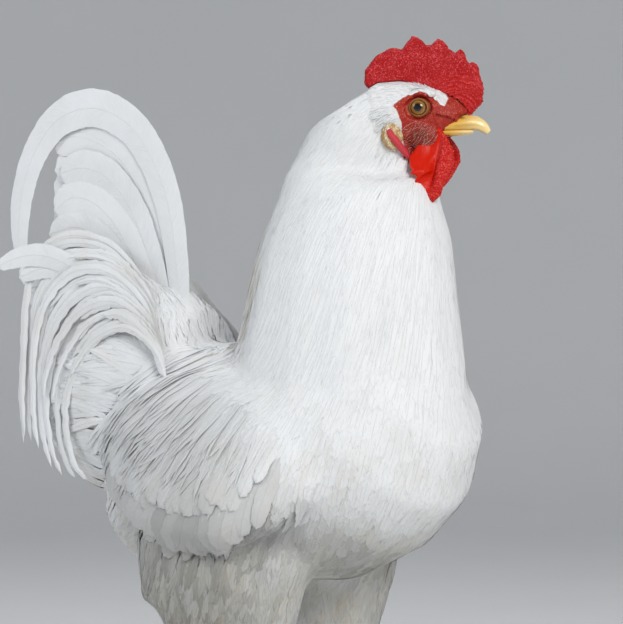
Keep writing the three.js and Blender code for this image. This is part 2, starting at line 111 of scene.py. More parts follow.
def spline(points: Sequence[Sequence[float]], count: int) -> np.ndarray:
    """Samples a smooth centripetal curve through points.

    Args:
        points: The curve's knots, each of any number of coordinates; the first three set the spacing.
        count: How many samples, spread evenly over the knots.

    Returns:
        The samples, one row each.
    """
    p = np.asarray(points, float)
    p = np.vstack([2 * p[0] - p[1], p, 2 * p[-1] - p[-2]])
    t = np.linspace(0, len(p) - 3, count)
    i = np.minimum(t.astype(int), len(p) - 4)
    s = (t - i)[:, None]
    a, b, c, d = (p[i + k] for k in range(4))
    steps = ((b, a), (c, b), (d, c))
    gap = [np.maximum(np.linalg.norm((q - r)[:, :3], axis=1, keepdims=True), 1e-6) ** 0.5 for q, r in steps]
    start = ((b - a) / gap[0] - (c - a) / (gap[0] + gap[1]) + (c - b) / gap[1]) * gap[1]
    stop = ((c - b) / gap[1] - (d - b) / (gap[1] + gap[2]) + (d - c) / gap[2]) * gap[1]
    knots = (2 * s**3 - 3 * s**2 + 1) * b + (s**3 - 2 * s**2 + s) * start
    return knots + (3 * s**2 - 2 * s**3) * c + (s**3 - s**2) * stop


def hashed(cells: np.ndarray, seed: int) -> np.ndarray:
    """Gives each integer cell its own number from 0 to 1."""
    c = cells.astype(np.int64).astype(np.uint32)
    h = c[..., 0] * np.uint32(374761393) + c[..., 1] * np.uint32(668265263) + c[..., 2] * np.uint32(2246822519)
    h = h + np.uint32(seed * 3266489917 % 4294967296)
    h = (h ^ (h >> np.uint32(13))) * np.uint32(1274126177)
    h = (h ^ (h >> np.uint32(15))) * np.uint32(2654435761)
    return (h ^ (h >> np.uint32(16))).astype(float) / 4294967296.0


def drift(points: np.ndarray, size: float, seed: int = 1) -> np.ndarray:
    """Smooth noise from -1 to 1 with features of the given size."""
    q = points / size
    base = np.floor(q)
    f = q - base
    f = f * f * (3 - 2 * f)
    total = np.zeros(len(points))
    for corner in np.ndindex(2, 2, 2):
        weight = np.prod(np.where(np.array(corner) == 1, f, 1 - f), axis=1)
        total += weight * hashed(base + corner, seed)
    return total * 2 - 1


def grains(points: np.ndarray, size: float, seed: int = 1) -> np.ndarray:
    """Rounded grains packed at the given spacing: 1 at each grain's middle, 0 between them."""
    q = points / size
    base = np.floor(q)
    nearest = np.full(len(points), 9.0)
    second = np.full(len(points), 9.0)
    for corner in np.ndindex(3, 3, 3):
        cell = base + corner - 1
        middle = cell + np.stack([hashed(cell, seed + k) for k in (11, 23, 37)], axis=1)
        away = np.linalg.norm(q - middle, axis=1)
        second = np.minimum(second, np.maximum(nearest, away))
        nearest = np.minimum(nearest, away)
    return smoothstep(0.02, 0.55, second - nearest)


def inside_distance(outline: Sequence[Sequence[float]], points: np.ndarray) -> np.ndarray:
    """Distance of flat points from an outline, positive inside it."""
    ring = np.asarray(outline, float)
    nearest = np.full(len(points), 1e9)
    inside = np.zeros(len(points), bool)
    for a, b in zip(ring, np.roll(ring, -1, axis=0)):
        edge = b - a
        t = np.clip(((points - a) @ edge) / (edge @ edge), 0, 1)
        nearest = np.minimum(nearest, np.linalg.norm(points - a - t[:, None] * edge, axis=1))
        crosses = (a[1] > points[:, 1]) != (b[1] > points[:, 1])
        at = a[0] + (points[:, 1] - a[1]) * edge[0] / (edge[1] if edge[1] else 1e-9)
        inside ^= crosses & (points[:, 0] < at)
    return np.where(inside, nearest, -nearest)


@dataclass(frozen=True)
class HeadFrame:
    """The head's own axes: its origin midway between the eyes, +X to the beak, +Y to the bird's left, +Z up."""

    origin: np.ndarray
    axes: np.ndarray

    @classmethod
    def from_eyes(cls) -> "HeadFrame":
        """Reads the frame from where the two eyes are."""
        left, right = (np.array(sum(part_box(f"eye_{w}"), Vector()) / 2) / MM for w in SIDES)
        across = unit(left - right)
        return cls((left + right) / 2, np.array([[across[1], -across[0], 0], across, [0, 0, 1]]))

    def inward(self, points: np.ndarray) -> np.ndarray:
        """Turns row points into head points."""
        return (points - self.origin) @ self.axes.T

    def outward(self, points: np.ndarray) -> np.ndarray:
        """Turns head points into row points."""
        return np.asarray(points, float) @ self.axes + self.origin

    def matrix(self, place: Sequence[float]) -> Matrix:
        """Where a primitive goes that is made at a place in the head's frame, in metres."""
        turn = Matrix(self.axes.T.tolist()).to_4x4()
        return Matrix.Translation(Vector(self.outward(np.array(place)) * MM)) @ turn


HEAD = HeadFrame.from_eyes()


# ---------------------------------------------------------------- meshes


def activate(*objects: bpy.types.Object) -> None:
    """Selects only these objects and makes the first one active."""
    bpy.ops.object.select_all(action="DESELECT")
    for o in objects:
        o.select_set(True)
    bpy.context.view_layer.objects.active = objects[0]


def corners(obj: bpy.types.Object) -> np.ndarray:
    """Every vertex of an object, in millimetres."""
    co = np.zeros(len(obj.data.vertices) * 3, np.float32)
    obj.data.vertices.foreach_get("co", co)
    return co.reshape(-1, 3).astype(float) / MM


def place_corners(obj: bpy.types.Object, points: np.ndarray) -> None:
    """Moves every vertex of an object, in millimetres."""
    obj.data.vertices.foreach_set("co", (points * MM).astype(np.float32).ravel())
    obj.data.update()


def corner_normals(obj: bpy.types.Object) -> np.ndarray:
    """The smooth normal at every vertex."""
    normals = np.zeros(len(obj.data.vertices) * 3, np.float32)
    obj.data.vertex_normals.foreach_get("vector", normals)
    return normals.reshape(-1, 3).astype(float)


def head_corners(obj: bpy.types.Object) -> np.ndarray:
    """Every vertex of an object, in the head's frame."""
    return HEAD.inward(corners(obj))


def place_head_corners(obj: bpy.types.Object, points: np.ndarray) -> None:
    """Moves every vertex of an object to a place in the head's frame."""
    place_corners(obj, HEAD.outward(points))


def emboss(obj: bpy.types.Object, height: np.ndarray) -> None:
    """Moves every vertex outwards by its own height."""
    place_corners(obj, corners(obj) + corner_normals(obj) * height[:, None])


def store(obj: bpy.types.Object, **numbers: np.ndarray) -> None:
    """Stores numbers of every vertex under names that materials read."""
    for name, values in numbers.items():
        obj.data.attributes.new(name, "FLOAT", "POINT").data.foreach_set("value", values.astype(np.float32))


def from_arrays(name: str, points: np.ndarray, quads: np.ndarray, tris: np.ndarray) -> bpy.types.Object:
    """Makes a smooth-shaded object from vertex, quad and triangle arrays."""
    mesh = bpy.data.meshes.new(name)
    mesh.vertices.add(len(points))
    mesh.vertices.foreach_set("co", (points * MM).astype(np.float32).ravel())
    loops = np.concatenate([quads.ravel(), tris.ravel()]).astype(np.int32)
    mesh.loops.add(len(loops))
    mesh.loops.foreach_set("vertex_index", loops)
    starts = np.concatenate([np.arange(len(quads)) * 4, len(quads) * 4 + np.arange(len(tris)) * 3])
    mesh.polygons.add(len(starts))
    mesh.polygons.foreach_set("loop_start", starts.astype(np.int32))
    mesh.update(calc_edges=True)
    mesh.polygons.foreach_set("use_smooth", np.ones(len(starts), bool))
    obj = bpy.data.objects.new(name, mesh)
    bpy.context.collection.objects.link(obj)
    return obj


@contextmanager
def editing() -> Iterator[None]:
    """Holds the active object in edit mode."""
    bpy.ops.object.mode_set(mode="EDIT")
    yield
    bpy.ops.object.mode_set(mode="OBJECT")


def copy_node(node: str) -> bpy.types.Object:
    """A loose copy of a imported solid, with its doubled vertices merged."""
    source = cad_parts[node]
    obj = bpy.data.objects.new(f"copy_{node}", source.data.copy())
    bpy.context.collection.objects.link(obj)
    obj.data.materials.clear()
    activate(obj)
    with editing():
        bpy.ops.mesh.select_all(action="SELECT")
        bpy.ops.mesh.remove_doubles(threshold=0.00001)
    return obj


def join(name: str, objects: Sequence[bpy.types.Object]) -> bpy.types.Object:
    """Joins objects into the first one and names it."""
    activate(*objects)
    if len(objects) > 1:
        bpy.ops.object.join()
    objects[0].name = objects[0].data.name = name
    return objects[0]


def finish_modifier(obj: bpy.types.Object, kind: str, **settings: object) -> None:
    """Adds a modifier with its settings and applies it."""
    modifier = obj.modifiers.new("shape", kind)
    for key, value in settings.items():
        setattr(modifier, key, value)
    activate(obj)
    bpy.ops.object.modifier_apply(modifier=modifier.name)


def remesh(obj: bpy.types.Object, voxel: float, smooth: int) -> None:
    """Rebuilds an object as one even closed surface and relaxes it."""
    finish_modifier(obj, "REMESH", mode="VOXEL", voxel_size=voxel * MM, use_smooth_shade=True)
    finish_modifier(obj, "SMOOTH", factor=0.5, iterations=smooth)


def duplicate(obj: bpy.types.Object) -> bpy.types.Object:
    """A second object with its own mesh, made active."""
    activate(obj)
    bpy.ops.object.duplicate()
    return bpy.context.object


def refined(name: str, nodes: Sequence[str], voxel: float, smooth: int) -> bpy.types.Object:
    """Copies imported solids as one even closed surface."""
    obj = join(name, [copy_node(node) for node in nodes])
    remesh(obj, voxel, smooth)
    return obj


def ring_quads(rings: int, sides: int) -> np.ndarray:
    """The quads between neighbouring rings of vertices."""
    k, j = np.arange(rings - 1)[:, None] * sides, np.arange(sides)[None]
    after = (j + 1) % sides
    return np.stack([k + j, k + sides + j, k + sides + after, k + after], -1).reshape(-1, 4)


def cap(start: int, sides: int, middle: int, flip: bool = False) -> np.ndarray:
    """The triangles that close a ring of vertices.

    Args:
        start: The ring's first vertex.
        sides: How many it has.
        middle: The vertex in the ring's middle.
        flip: Whether the triangles turn the other way.

    Returns:
        Their vertices, one row a triangle.
    """
    j = np.arange(sides)
    pair = [start + j, start + (j + 1) % sides]
    return np.stack([*(pair[::-1] if flip else pair), np.full(sides, middle)], 1)


def closed_rings(name: str, rings: np.ndarray, first: np.ndarray, last: np.ndarray) -> bpy.types.Object:
    """Makes a closed surface through rings of vertices.

    Args:
        name: The object's name.
        rings: The vertices, of shape (rings, sides, 3).
        first: The point that closes the first ring.
        last: The point that closes the last ring.

    Returns:
        The object.
    """
    count, sides, _ = rings.shape
    end = (count - 1) * sides
    quads = ring_quads(count, sides)[:, [0, 3, 2, 1]]
    caps = [cap(0, sides, end + sides, True), cap(end, sides, end + sides + 1)]
    return from_arrays(name, np.vstack([rings.reshape(-1, 3), first, last]), quads, np.vstack(caps))


def tube(
    name: str, path: np.ndarray, wide: np.ndarray, deep: np.ndarray, across: Sequence[float], sides: int = 24
) -> bpy.types.Object:
    """A closed round-sectioned body along a path: a ring that is extruded from station to station.

    Args:
        name: The object's name.
        path: Its centres, one row a station.
        wide: Half widths along the crosswise direction.
        deep: Half widths at right angles to it.
        across: The crosswise direction.
        sides: Vertices round each ring.

    Returns:
        The object, with both ends closed to a point.
    """
    tangent = unit(np.gradient(path, axis=0))
    cross = beside(np.broadcast_to(np.asarray(across, float), path.shape), tangent)
    up = np.cross(tangent, cross)
    angle = np.arange(sides) / sides * 2 * math.pi
    ring = wide[:, None, None] * np.cos(angle)[None, :, None] * cross[:, None]
    rings = path[:, None] + (ring + deep[:, None, None] * np.sin(angle)[None, :, None] * up[:, None])
    first = path[0] - tangent[0] * min(wide[0], deep[0]) * 0.4
    last = path[-1] + tangent[-1] * min(wide[-1], deep[-1]) * 0.5
    return closed_rings(name, rings, first, last)


# ---------------------------------------------------------------- finishes


class Signal:
    """A shader value that takes part in arithmetic; each operation adds its Math node."""

    def __init__(self, graph: "Graph", socket: bpy.types.NodeSocket) -> None:
        """Wraps an output socket."""
        self.graph, self.socket = graph, socket

    def _with(self, operation: str, *values: object) -> "Signal":
        """Adds one Math node."""
        return self.graph.node("ShaderNodeMath", {"operation": operation}, dict(enumerate(values)))

    def __add__(self, other: object) -> "Signal":
        """Sum."""
        return self._with("ADD", self, other)

    __radd__ = __add__

    def __sub__(self, other: object) -> "Signal":
        """Difference."""
        return self._with("SUBTRACT", self, other)

    def __rsub__(self, other: object) -> "Signal":
        """Difference from a number."""
        return self._with("SUBTRACT", other, self)

    def __mul__(self, other: object) -> "Signal":
        """Product."""
        return self._with("MULTIPLY", self, other)

    __rmul__ = __mul__

    def step(self, low: float, high: float) -> "Signal":
        """A smooth rise from 0 at low to 1 at high."""
        sockets = {"Value": self, "From Min": low, "From Max": high}
        return self.graph.node("ShaderNodeMapRange", {"interpolation_type": "SMOOTHSTEP"}, sockets)

    def absolute(self) -> "Signal":
        """Size without sign."""
        return self._with("ABSOLUTE", self)


class Graph:
    """One material's nodes."""

    def __init__(self, name: str) -> None:
        """Starts a material with a single surface shader."""
        self.material = bpy.data.materials.new(name)
        self.material.use_nodes = True
        self.tree = self.material.node_tree
        self.shader = self.tree.nodes["Principled BSDF"]
        self.place = self.tree.nodes.new("ShaderNodeTexCoord").outputs["Object"]

    def node(self, kind: str, settings: dict, sockets: dict, output: object = None) -> Signal:
        """Adds a node of any kind.

        Args:
            kind: The node's type.
            settings: Its properties, set first.
            sockets: Values or links of its inputs, by name or number.
            output: Which output to return, by name or number.

        Returns:
            That output, or the first enabled one.
        """
        node = self.tree.nodes.new(kind)
        for key, value in settings.items():
            setattr(node, key, value)
        for key, value in sockets.items():
            self.feed(node.inputs[key], value)
        out = node.outputs[output] if output is not None else next(o for o in node.outputs if o.enabled)
        return Signal(self, out)

    def feed(self, socket: bpy.types.NodeSocket, value: object) -> None:
        """Links a signal to an input, or sets the input's own value."""
        if isinstance(value, Signal):
            value = value.socket
        if isinstance(value, bpy.types.NodeSocket):
            self.tree.links.new(value, socket)
        elif isinstance(value, tuple) and len(value) == 3 and socket.type == "RGBA":
            socket.default_value = (*value, 1)
        else:
            socket.default_value = value

    def attribute(self, name: str) -> Signal:
        """A number that the mesh carries."""
        return self.node("ShaderNodeAttribute", {"attribute_name": name}, {}, "Fac")

    def noise(self, scale: float, detail: float = 2.0, vector: object = None) -> Signal:
        """Soft noise round 0.5; the scale counts features a metre."""
        sockets = {"Vector": vector or self.place, "Scale": scale, "Detail": detail}
        return self.node("ShaderNodeTexNoise", {}, sockets, "Fac")

    def cells(self, scale: float) -> Signal:
        """Distance from the nearest cell's middle."""
        return self.node("ShaderNodeTexVoronoi", {}, {"Vector": self.place, "Scale": scale}, "Distance")

    def streaks(self, along: Signal, across: Signal, seed: Signal, scales: Flat, detail: float) -> Signal:
        """Noise drawn out along barbs, different for each feather."""
        place = {0: along * scales[0], 1: across * scales[1], 2: seed * 40.0}
        return self.noise(1.0, detail, self.node("ShaderNodeCombineXYZ", {}, place))

    def mix(self, factor: object, first: object, second: object) -> Signal:
        """Blends two colours."""
        return self.node("ShaderNodeMix", {"data_type": "RGBA"}, {0: factor, 6: first, 7: second}, 2)

    def surface(self, bump: Signal | None = None, depth: float = 0.0, **sockets: object) -> bpy.types.Material:
        """Sets the shader's sockets and returns the material.

        Args:
            bump: A height signal.
            depth: The bump's height in millimetres.
            **sockets: Socket names with underscores for spaces, and their values.

        Returns:
            The finished material.
        """
        for key, value in sockets.items():
            self.feed(self.shader.inputs[key.replace("_", " ")], value)
        if bump is not None:
            raised = self.node("ShaderNodeBump", {}, {"Height": bump, "Distance": depth * MM}, "Normal")
            self.feed(self.shader.inputs["Normal"], raised)
        return self.material


@dataclass(frozen=True)
class PlumageFinish:
    """White vanes with fine barbs, a pale shaft, painted grey shade, and patches of cream that are partly worn, soiled
    plumage and partly painted warm shade and reflected light.
    """

    name: str = "white_plumage"
    white: Colour = (0.86, 0.875, 0.89)
    shade: Colour = (0.70, 0.725, 0.76)
    cream: Colour = (0.58, 0.52, 0.39)
    # the grey that painted shade turns the vanes to
    dull: Colour = (0.36, 0.365, 0.36)
    # the brown that painted shade turns to near the floor, partly painted shade and partly soiled feathers, and the
    # heights in metres over which it turns
    soiled_and_shaded: Colour = (0.20, 0.19, 0.155)
    soiled_and_shaded_heights: Flat = (0.15, 0.26)
    roughness: float = 0.62

    def make(self) -> bpy.types.Material:
        """Builds the material from the vane map and the coat's attributes."""
        g = Graph(self.name)
        vane = g.node("ShaderNodeUVMap", {"uv_map": "Vane"}, {})
        split = g.node("ShaderNodeSeparateXYZ", {}, {0: vane}, "X").socket.node
        u, v = Signal(g, split.outputs["X"]), Signal(g, split.outputs["Y"])
        tint, along, warm, dull = (g.attribute(n) for n in ("tint", "along", "warm", "dull"))
        barb = v - u.absolute() * 0.8
        barbs = g.streaks(barb, u, tint, (9.0, 1.2), 3.0)
        fine_barbs = g.streaks(barb, u, tint, (34.0, 2.0), 2.0)
        shaft = 1 - u.absolute().step(0.006, 0.03)
        worn = g.noise(38.0, 3.0)
        grey = (barbs - 0.5) * 0.5 + (tint - 0.5) * 0.22 + (1 - along) * 0.10
        grey = grey - shaft * 0.08 + (worn - 0.5) * 0.25
        white = g.mix(grey.step(-0.10, 0.55), self.white, self.shade)
        above_floor = g.node("ShaderNodeSeparateXYZ", {}, {0: g.place}, "Z")
        # painted shade: vanes go grey by their painted-shade share, and brown near the floor, where that brown is
        # partly painted shade and partly soiling
        white = g.mix(dull, white, g.mix(above_floor.step(*self.soiled_and_shaded_heights), self.soiled_and_shaded, self.dull))
        # cream patches: partly worn, soiled plumage and partly painted warm shade and reflected light, less where
        # painted shade is strong
        colour = g.mix(warm * worn.step(0.25, 0.75) * (1 - dull * 0.8), white, self.cream)
        rough = self.roughness + (barbs - 0.5) * 0.15
        fixed = {"Subsurface_Weight": 0.0, "Sheen_Weight": 0.15, "Specular_IOR_Level": 0.35}
        relief = barbs * 0.5 + fine_barbs * 0.35 + shaft * 0.5
        return g.surface(relief, 0.35, Base_Color=colour, Roughness=rough, **fixed)


@dataclass(frozen=True)
class SkinFinish:
    """White feathered skin that turns to bare papillate red round the eye, with brown cheeks."""

    name: str = "face_and_body_skin"
    body: Colour = (0.74, 0.72, 0.70)
    red: Colour = (0.36, 0.020, 0.012)
    pink: Colour = (0.62, 0.15, 0.10)
    brown: Colour = (0.13, 0.022, 0.011)
    lid: Colour = (0.32, 0.12, 0.035)
    fold: Colour = (0.60, 0.05, 0.07)

    def make(self) -> bpy.types.Material:
        """Builds the material from the skin's bare, cheek, lid and grain attributes."""
        g = Graph(self.name)
        bare, cheek, lid, grain, fold = (g.attribute(n) for n in ("bare", "cheek", "lid", "grain", "fold"))
        mottle = g.noise(900.0, 3.0)
        blotch = g.noise(230.0, 2.0)
        # pink on the papillae's tops is partly painted highlight, mixed with blotched colour
        red = g.mix((grain * 0.75 + (blotch - 0.5) * 0.9).step(0.15, 1.0), self.red, self.pink)
        red = g.mix(cheek * (0.72 + (mottle - 0.5) * 1.2), red, self.brown)
        red = g.mix(lid, red, self.lid)
        red = g.mix(fold * 0.85, red, self.fold)
        edge = (bare + (mottle - 0.5) * 1.6).step(-0.4, 0.4)
        colour = g.mix(edge, self.body, red)
        rough = 0.48 + (mottle - 0.5) * 0.3
        fixed = {"Specular_IOR_Level": 0.25, "Subsurface_Weight": 0.05, "Subsurface_Scale": 0.003}
        return g.surface(mottle + g.cells(750.0) * 0.8, 0.28, Base_Color=colour, Roughness=rough, **fixed)


@dataclass(frozen=True)
class CombFinish:
    """Crimson granular flesh, pale pink on its grains that is partly painted highlight, smoother and more orange where
    it is thin.
    """

    name: str
    deep: Colour
    # pale pink of the grains' tops, partly painted highlight
    pale: Colour
    grain_depth: float
    roughness: float
    thin: Colour = (0.62, 0.014, 0.002)

    def make(self) -> bpy.types.Material:
        """Builds the material from the piece's grain and smooth attributes."""
        g = Graph(self.name)
        grain, smooth = g.attribute("grain"), g.attribute("smooth")
        mottle, blotch = g.noise(1300.0, 3.0), g.noise(120.0, 2.0)
        # pale pink on the grain tops is partly painted highlight, mixed with mottled and blotched colour
        light = (grain * 0.75 + (mottle - 0.5) * 1.3 + (blotch - 0.5) * 0.6).step(0.0, 1.05)
        colour = g.mix(light * (1 - smooth * 0.8), self.deep, self.pale)
        colour = g.mix(smooth * 0.9, colour, self.thin)
        rough = self.roughness + (mottle - 0.5) * 0.25
        relief = (mottle + g.cells(820.0) * 0.7) * (1 - smooth * 0.7)
        fixed = {"Specular_IOR_Level": 0.17, "Subsurface_Weight": 0.04, "Subsurface_Scale": 0.002}
        return g.surface(relief, self.grain_depth, Base_Color=colour, Roughness=rough, **fixed)


@dataclass(frozen=True)
class LobeFinish:
    """Creamy wrinkled earlobe, yellower in its creases."""

    name: str = "earlobe_skin"
    crease: Colour = (0.42, 0.24, 0.07)
    cream: Colour = (0.82, 0.70, 0.48)

    def make(self) -> bpy.types.Material:
        """Builds the material from the grain attribute."""
        g = Graph(self.name)
        grain, mottle = g.attribute("grain"), g.noise(1400.0, 3.0)
        colour = g.mix((grain * 0.9 + (mottle - 0.5) * 0.8).step(0.05, 0.9), self.crease, self.cream)
        fixed = {"Subsurface_Weight": 0.1, "Subsurface_Scale": 0.004}
        return g.surface(mottle, 0.3, Base_Color=colour, Roughness=0.5 + (mottle - 0.5) * 0.2, **fixed)


@dataclass(frozen=True)
class HornFinish:
    """Yellow horn with lengthwise growth streaks, paling to the tip; on the beak the streak colour also paints shade
    into the nostrils and along the mouth line.
    """

    name: str
    root: Colour
    tip: Colour
    streak: Colour = (0.30, 0.16, 0.03)

    def make(self) -> bpy.types.Material:
        """Builds the material from the horn's along and dark attributes."""
        g = Graph(self.name)
        along, dark = g.attribute("along"), g.attribute("dark")
        lines, soft = g.noise(420.0, 4.0), g.noise(160.0, 2.0)
        colour = g.mix(along.step(0.35, 1.0) + (soft - 0.5) * 0.3, self.root, self.tip)
        colour = g.mix(dark * 0.85 + (lines - 0.5) * 0.25, colour, self.streak)
        rough = 0.30 + (lines - 0.5) * 0.25
        return g.surface(lines, 0.12, Base_Color=colour, Roughness=rough, Coat_Weight=0.25, Coat_Roughness=0.2)


@dataclass(frozen=True)
class EyeFinish:
    """A black pupil in an amber iris with fine spokes and a dark rim, under a wet cornea."""

    name: str = "eye_amber"
    inner: Colour = (0.15, 0.060, 0.008)
    outer: Colour = (0.33, 0.165, 0.016)
    rim: Colour = (0.05, 0.018, 0.006)
    pupil: Colour = (0.003, 0.003, 0.004)

    def make(self) -> bpy.types.Material:
        """Builds the material from the eye's radial attribute, in millimetres."""
        g = Graph(self.name)
        radial, spokes = g.attribute("radial"), g.noise(2600.0, 2.0)
        iris = g.mix((radial + (spokes - 0.5) * 1.4).step(2.7, 4.2), self.inner, self.outer)
        iris = g.mix(radial.step(4.2, 4.75), iris, self.rim)
        colour = g.mix(radial.step(2.38, 2.62), self.pupil, iris)
        wet = {"Roughness": 0.15, "Coat_Weight": 0.6, "Coat_Roughness": 0.02, "Specular_IOR_Level": 0.3}
        return g.surface(Base_Color=colour, **wet)


@dataclass(frozen=True)
class ScaleFinish:
    """Yellow leg scales, darker and browner in the joints between them."""

    name: str = "leg_scales"
    joint: Colour = (0.36, 0.20, 0.05)
    plate: Colour = (0.78, 0.53, 0.13)
    worn: Colour = (0.80, 0.60, 0.26)

    def make(self) -> bpy.types.Material:
        """Builds the material from the plate attribute."""
        g = Graph(self.name)
        plate, mottle, soft = g.attribute("plate"), g.noise(700.0, 3.0), g.noise(90.0, 2.0)
        colour = g.mix((plate + (mottle - 0.5) * 0.5).step(0.05, 0.75), self.joint, self.plate)
        colour = g.mix(soft.step(0.35, 0.8) * 0.35, colour, self.worn)
        return g.surface(mottle, 0.15, Base_Color=colour, Roughness=0.42 + (mottle - 0.5) * 0.3)


@dataclass(frozen=True)
class StudioFinish:
    """Matte pale studio floor and wall."""

    name: str = "studio_paper"
    colour: Colour = (0.80, 0.81, 0.82)

    def make(self) -> bpy.types.Material:
        """Builds the material."""
        g = Graph(self.name)
        darker = tuple(c * 0.96 for c in self.colour)
        return g.surface(Base_Color=g.mix(g.noise(6.0, 3.0), self.colour, darker), Roughness=0.9)


# ---------------------------------------------------------------- surfaces


class Surface:
    """A closed surface that feathers grow from and lie along."""

    def __init__(self, obj: bpy.types.Object) -> None:
        """Reads an object's triangles, smooth normals and areas."""
        self.points, self.normals = corners(obj), corner_normals(obj)
        obj.data.calc_loop_triangles()
        flat = np.zeros(len(obj.data.loop_triangles) * 3, np.int32)
        obj.data.loop_triangles.foreach_get("vertices", flat)
        self.tris = flat.reshape(-1, 3)
        self.tree = BVHTree.FromPolygons(self.points.tolist(), self.tris.tolist())
        a, b, c = (self.points[self.tris[:, k]] for k in range(3))
        self.middles = (a + b + c) / 3
        self.areas = np.linalg.norm(np.cross(b - a, c - a), axis=1) / 2
        self.corner_uv: np.ndarray | None = None

    def weights(self, spots: np.ndarray, index: np.ndarray) -> np.ndarray:
        """Each spot's shares of its triangle's three corners."""
        a, b, c = (self.points[self.tris[index, k]] for k in range(3))
        e, f, g = b - a, c - a, spots - a
        ee, ef, ff, ge, gf = (e * e).sum(1), (e * f).sum(1), (f * f).sum(1), (g * e).sum(1), (g * f).sum(1)
        area = np.maximum(ee * ff - ef * ef, 1e-12)
        v, w = (ff * ge - ef * gf) / area, (ee * gf - ef * ge) / area
        shares = np.clip(np.stack([1 - v - w, v, w], 1), 0, 1)
        return shares / shares.sum(1, keepdims=True)

    def nearest(self, spots: np.ndarray) -> tuple[np.ndarray, np.ndarray, np.ndarray]:
        """The closest surface points to some spots, with their smooth normals and triangles."""
        found = [self.tree.find_nearest(Vector(s)) for s in spots.tolist()]
        place = np.array([f[0] for f in found])
        index = np.array([f[2] for f in found])
        shares = self.weights(place, index)
        normals = unit((self.normals[self.tris[index]] * shares[:, :, None]).sum(1))
        return place, normals, index

    def sample(self, faces: np.ndarray, spacing: "Measure", rng: np.random.Generator) -> np.ndarray:
        """Scatters points over some triangles, none closer to another than the spacing there.

        Args:
            faces: The triangles' numbers.
            spacing: Gives the least distance at each point.
            rng: The seeded source of chance.

        Returns:
            The kept points.
        """
        if not len(faces):
            return np.zeros((0, 3))
        share = self.areas[faces] / spacing(self.middles[faces]) ** 2
        pick = rng.choice(faces, size=int(share.sum() * TRIES) + 8, p=share / share.sum())
        r = rng.random((len(pick), 2))
        r[:, 0] = np.sqrt(r[:, 0])
        a, b, c = (self.points[self.tris[pick, k]] for k in range(3))
        spots = a * (1 - r[:, :1]) + b * (r[:, :1] * (1 - r[:, 1:])) + c * (r[:, :1] * r[:, 1:])
        gaps = spacing(spots)
        cell = float(gaps.max())
        grid: dict[tuple[int, int, int], list[int]] = {}
        kept: list[int] = []
        keys = np.floor(spots / cell).astype(int).tolist()
        places = spots.tolist()
        around = [(dx - 1, dy - 1, dz - 1) for dx, dy, dz in np.ndindex(3, 3, 3)]
        for i, (kx, ky, kz) in enumerate(keys):
            limit = gaps[i] ** 2
            x, y, z = places[i]
            near = (places[j] for dx, dy, dz in around for j in grid.get((kx + dx, ky + dy, kz + dz), ()))
            if all((u - x) ** 2 + (v - y) ** 2 + (w - z) ** 2 >= limit for u, v, w in near):
                grid.setdefault((kx, ky, kz), []).append(i)
                kept.append(i)
        return spots[kept]

    def follow(
        self, roots: np.ndarray, heading: "Rule", lengths: np.ndarray, steps: int, stiffness: float = 0.5,
        turn: float = 0.64, sway: np.ndarray | None = None, shrink: float = 0.72,
    ) -> tuple[np.ndarray, np.ndarray]:
        """Traces a path along the surface from every root.

        Args:
            roots: Where the paths start.
            heading: Gives the lie of the coat at points with their normals.
            lengths: Each path's length.
            steps: Points on each path.
            stiffness: How much of its last direction a path keeps.
            turn: Least cosine between neighbouring normals before a path leaves the surface and goes on straight.
            sway: Each path's own sideways lean, as a share of its heading.
            shrink: How much shorter each step gets once a path is off the surface.

        Returns:
            The paths and the normals along them, both of shape (paths, steps, 3).
        """
        place, normal, _ = self.nearest(roots)
        stride = (lengths / (steps - 1))[:, None]
        free = np.zeros(len(roots), bool)
        way = None
        paths, normals = [place], [normal]
        for _ in range(steps - 1):
            aim = heading(place, normal)
            if sway is not None:
                aim = unit(aim) + np.cross(normal, unit(aim)) * sway[:, None]
            aim = beside(aim, normal)
            way = aim if way is None else unit(way * stiffness + aim * (1 - stiffness))
            way = np.where(free[:, None], unit(way + 0.05 * DOWN), beside(way, normal))
            ahead = place + way * stride
            spot, spot_normal, _ = self.nearest(ahead)
            gap = np.linalg.norm(spot - ahead, axis=1)
            free |= ((spot_normal * normal).sum(1) < turn) | (gap > 0.45 * stride[:, 0] + 0.8)
            stride = np.where(free[:, None], stride * shrink, stride)
            place = np.where(free[:, None], ahead, spot)
            normal = np.where(free[:, None], normal, spot_normal)
            paths.append(place)
            normals.append(normal)
        return np.stack(paths, 1), np.stack(normals, 1)


THROAT = (((-17, 0, -30), (15, 17.5, 20)), ((-13, 0, -45), (13, 15, 20)), ((-17, 0, -62), (22, 20, 22)))


def lump(place: Sequence[float], half: Sequence[float]) -> bpy.types.Object:
    """A soft swelling at a place in the head's frame."""
    bpy.ops.mesh.primitive_uv_sphere_add(segments=24, ring_count=14, radius=MM)
    obj = bpy.context.object
    with editing():
        bpy.ops.transform.resize(value=tuple(half), center_override=(0, 0, 0))
    obj.data.transform(HEAD.matrix(place))
    obj.location = (0, 0, 0)
    return obj


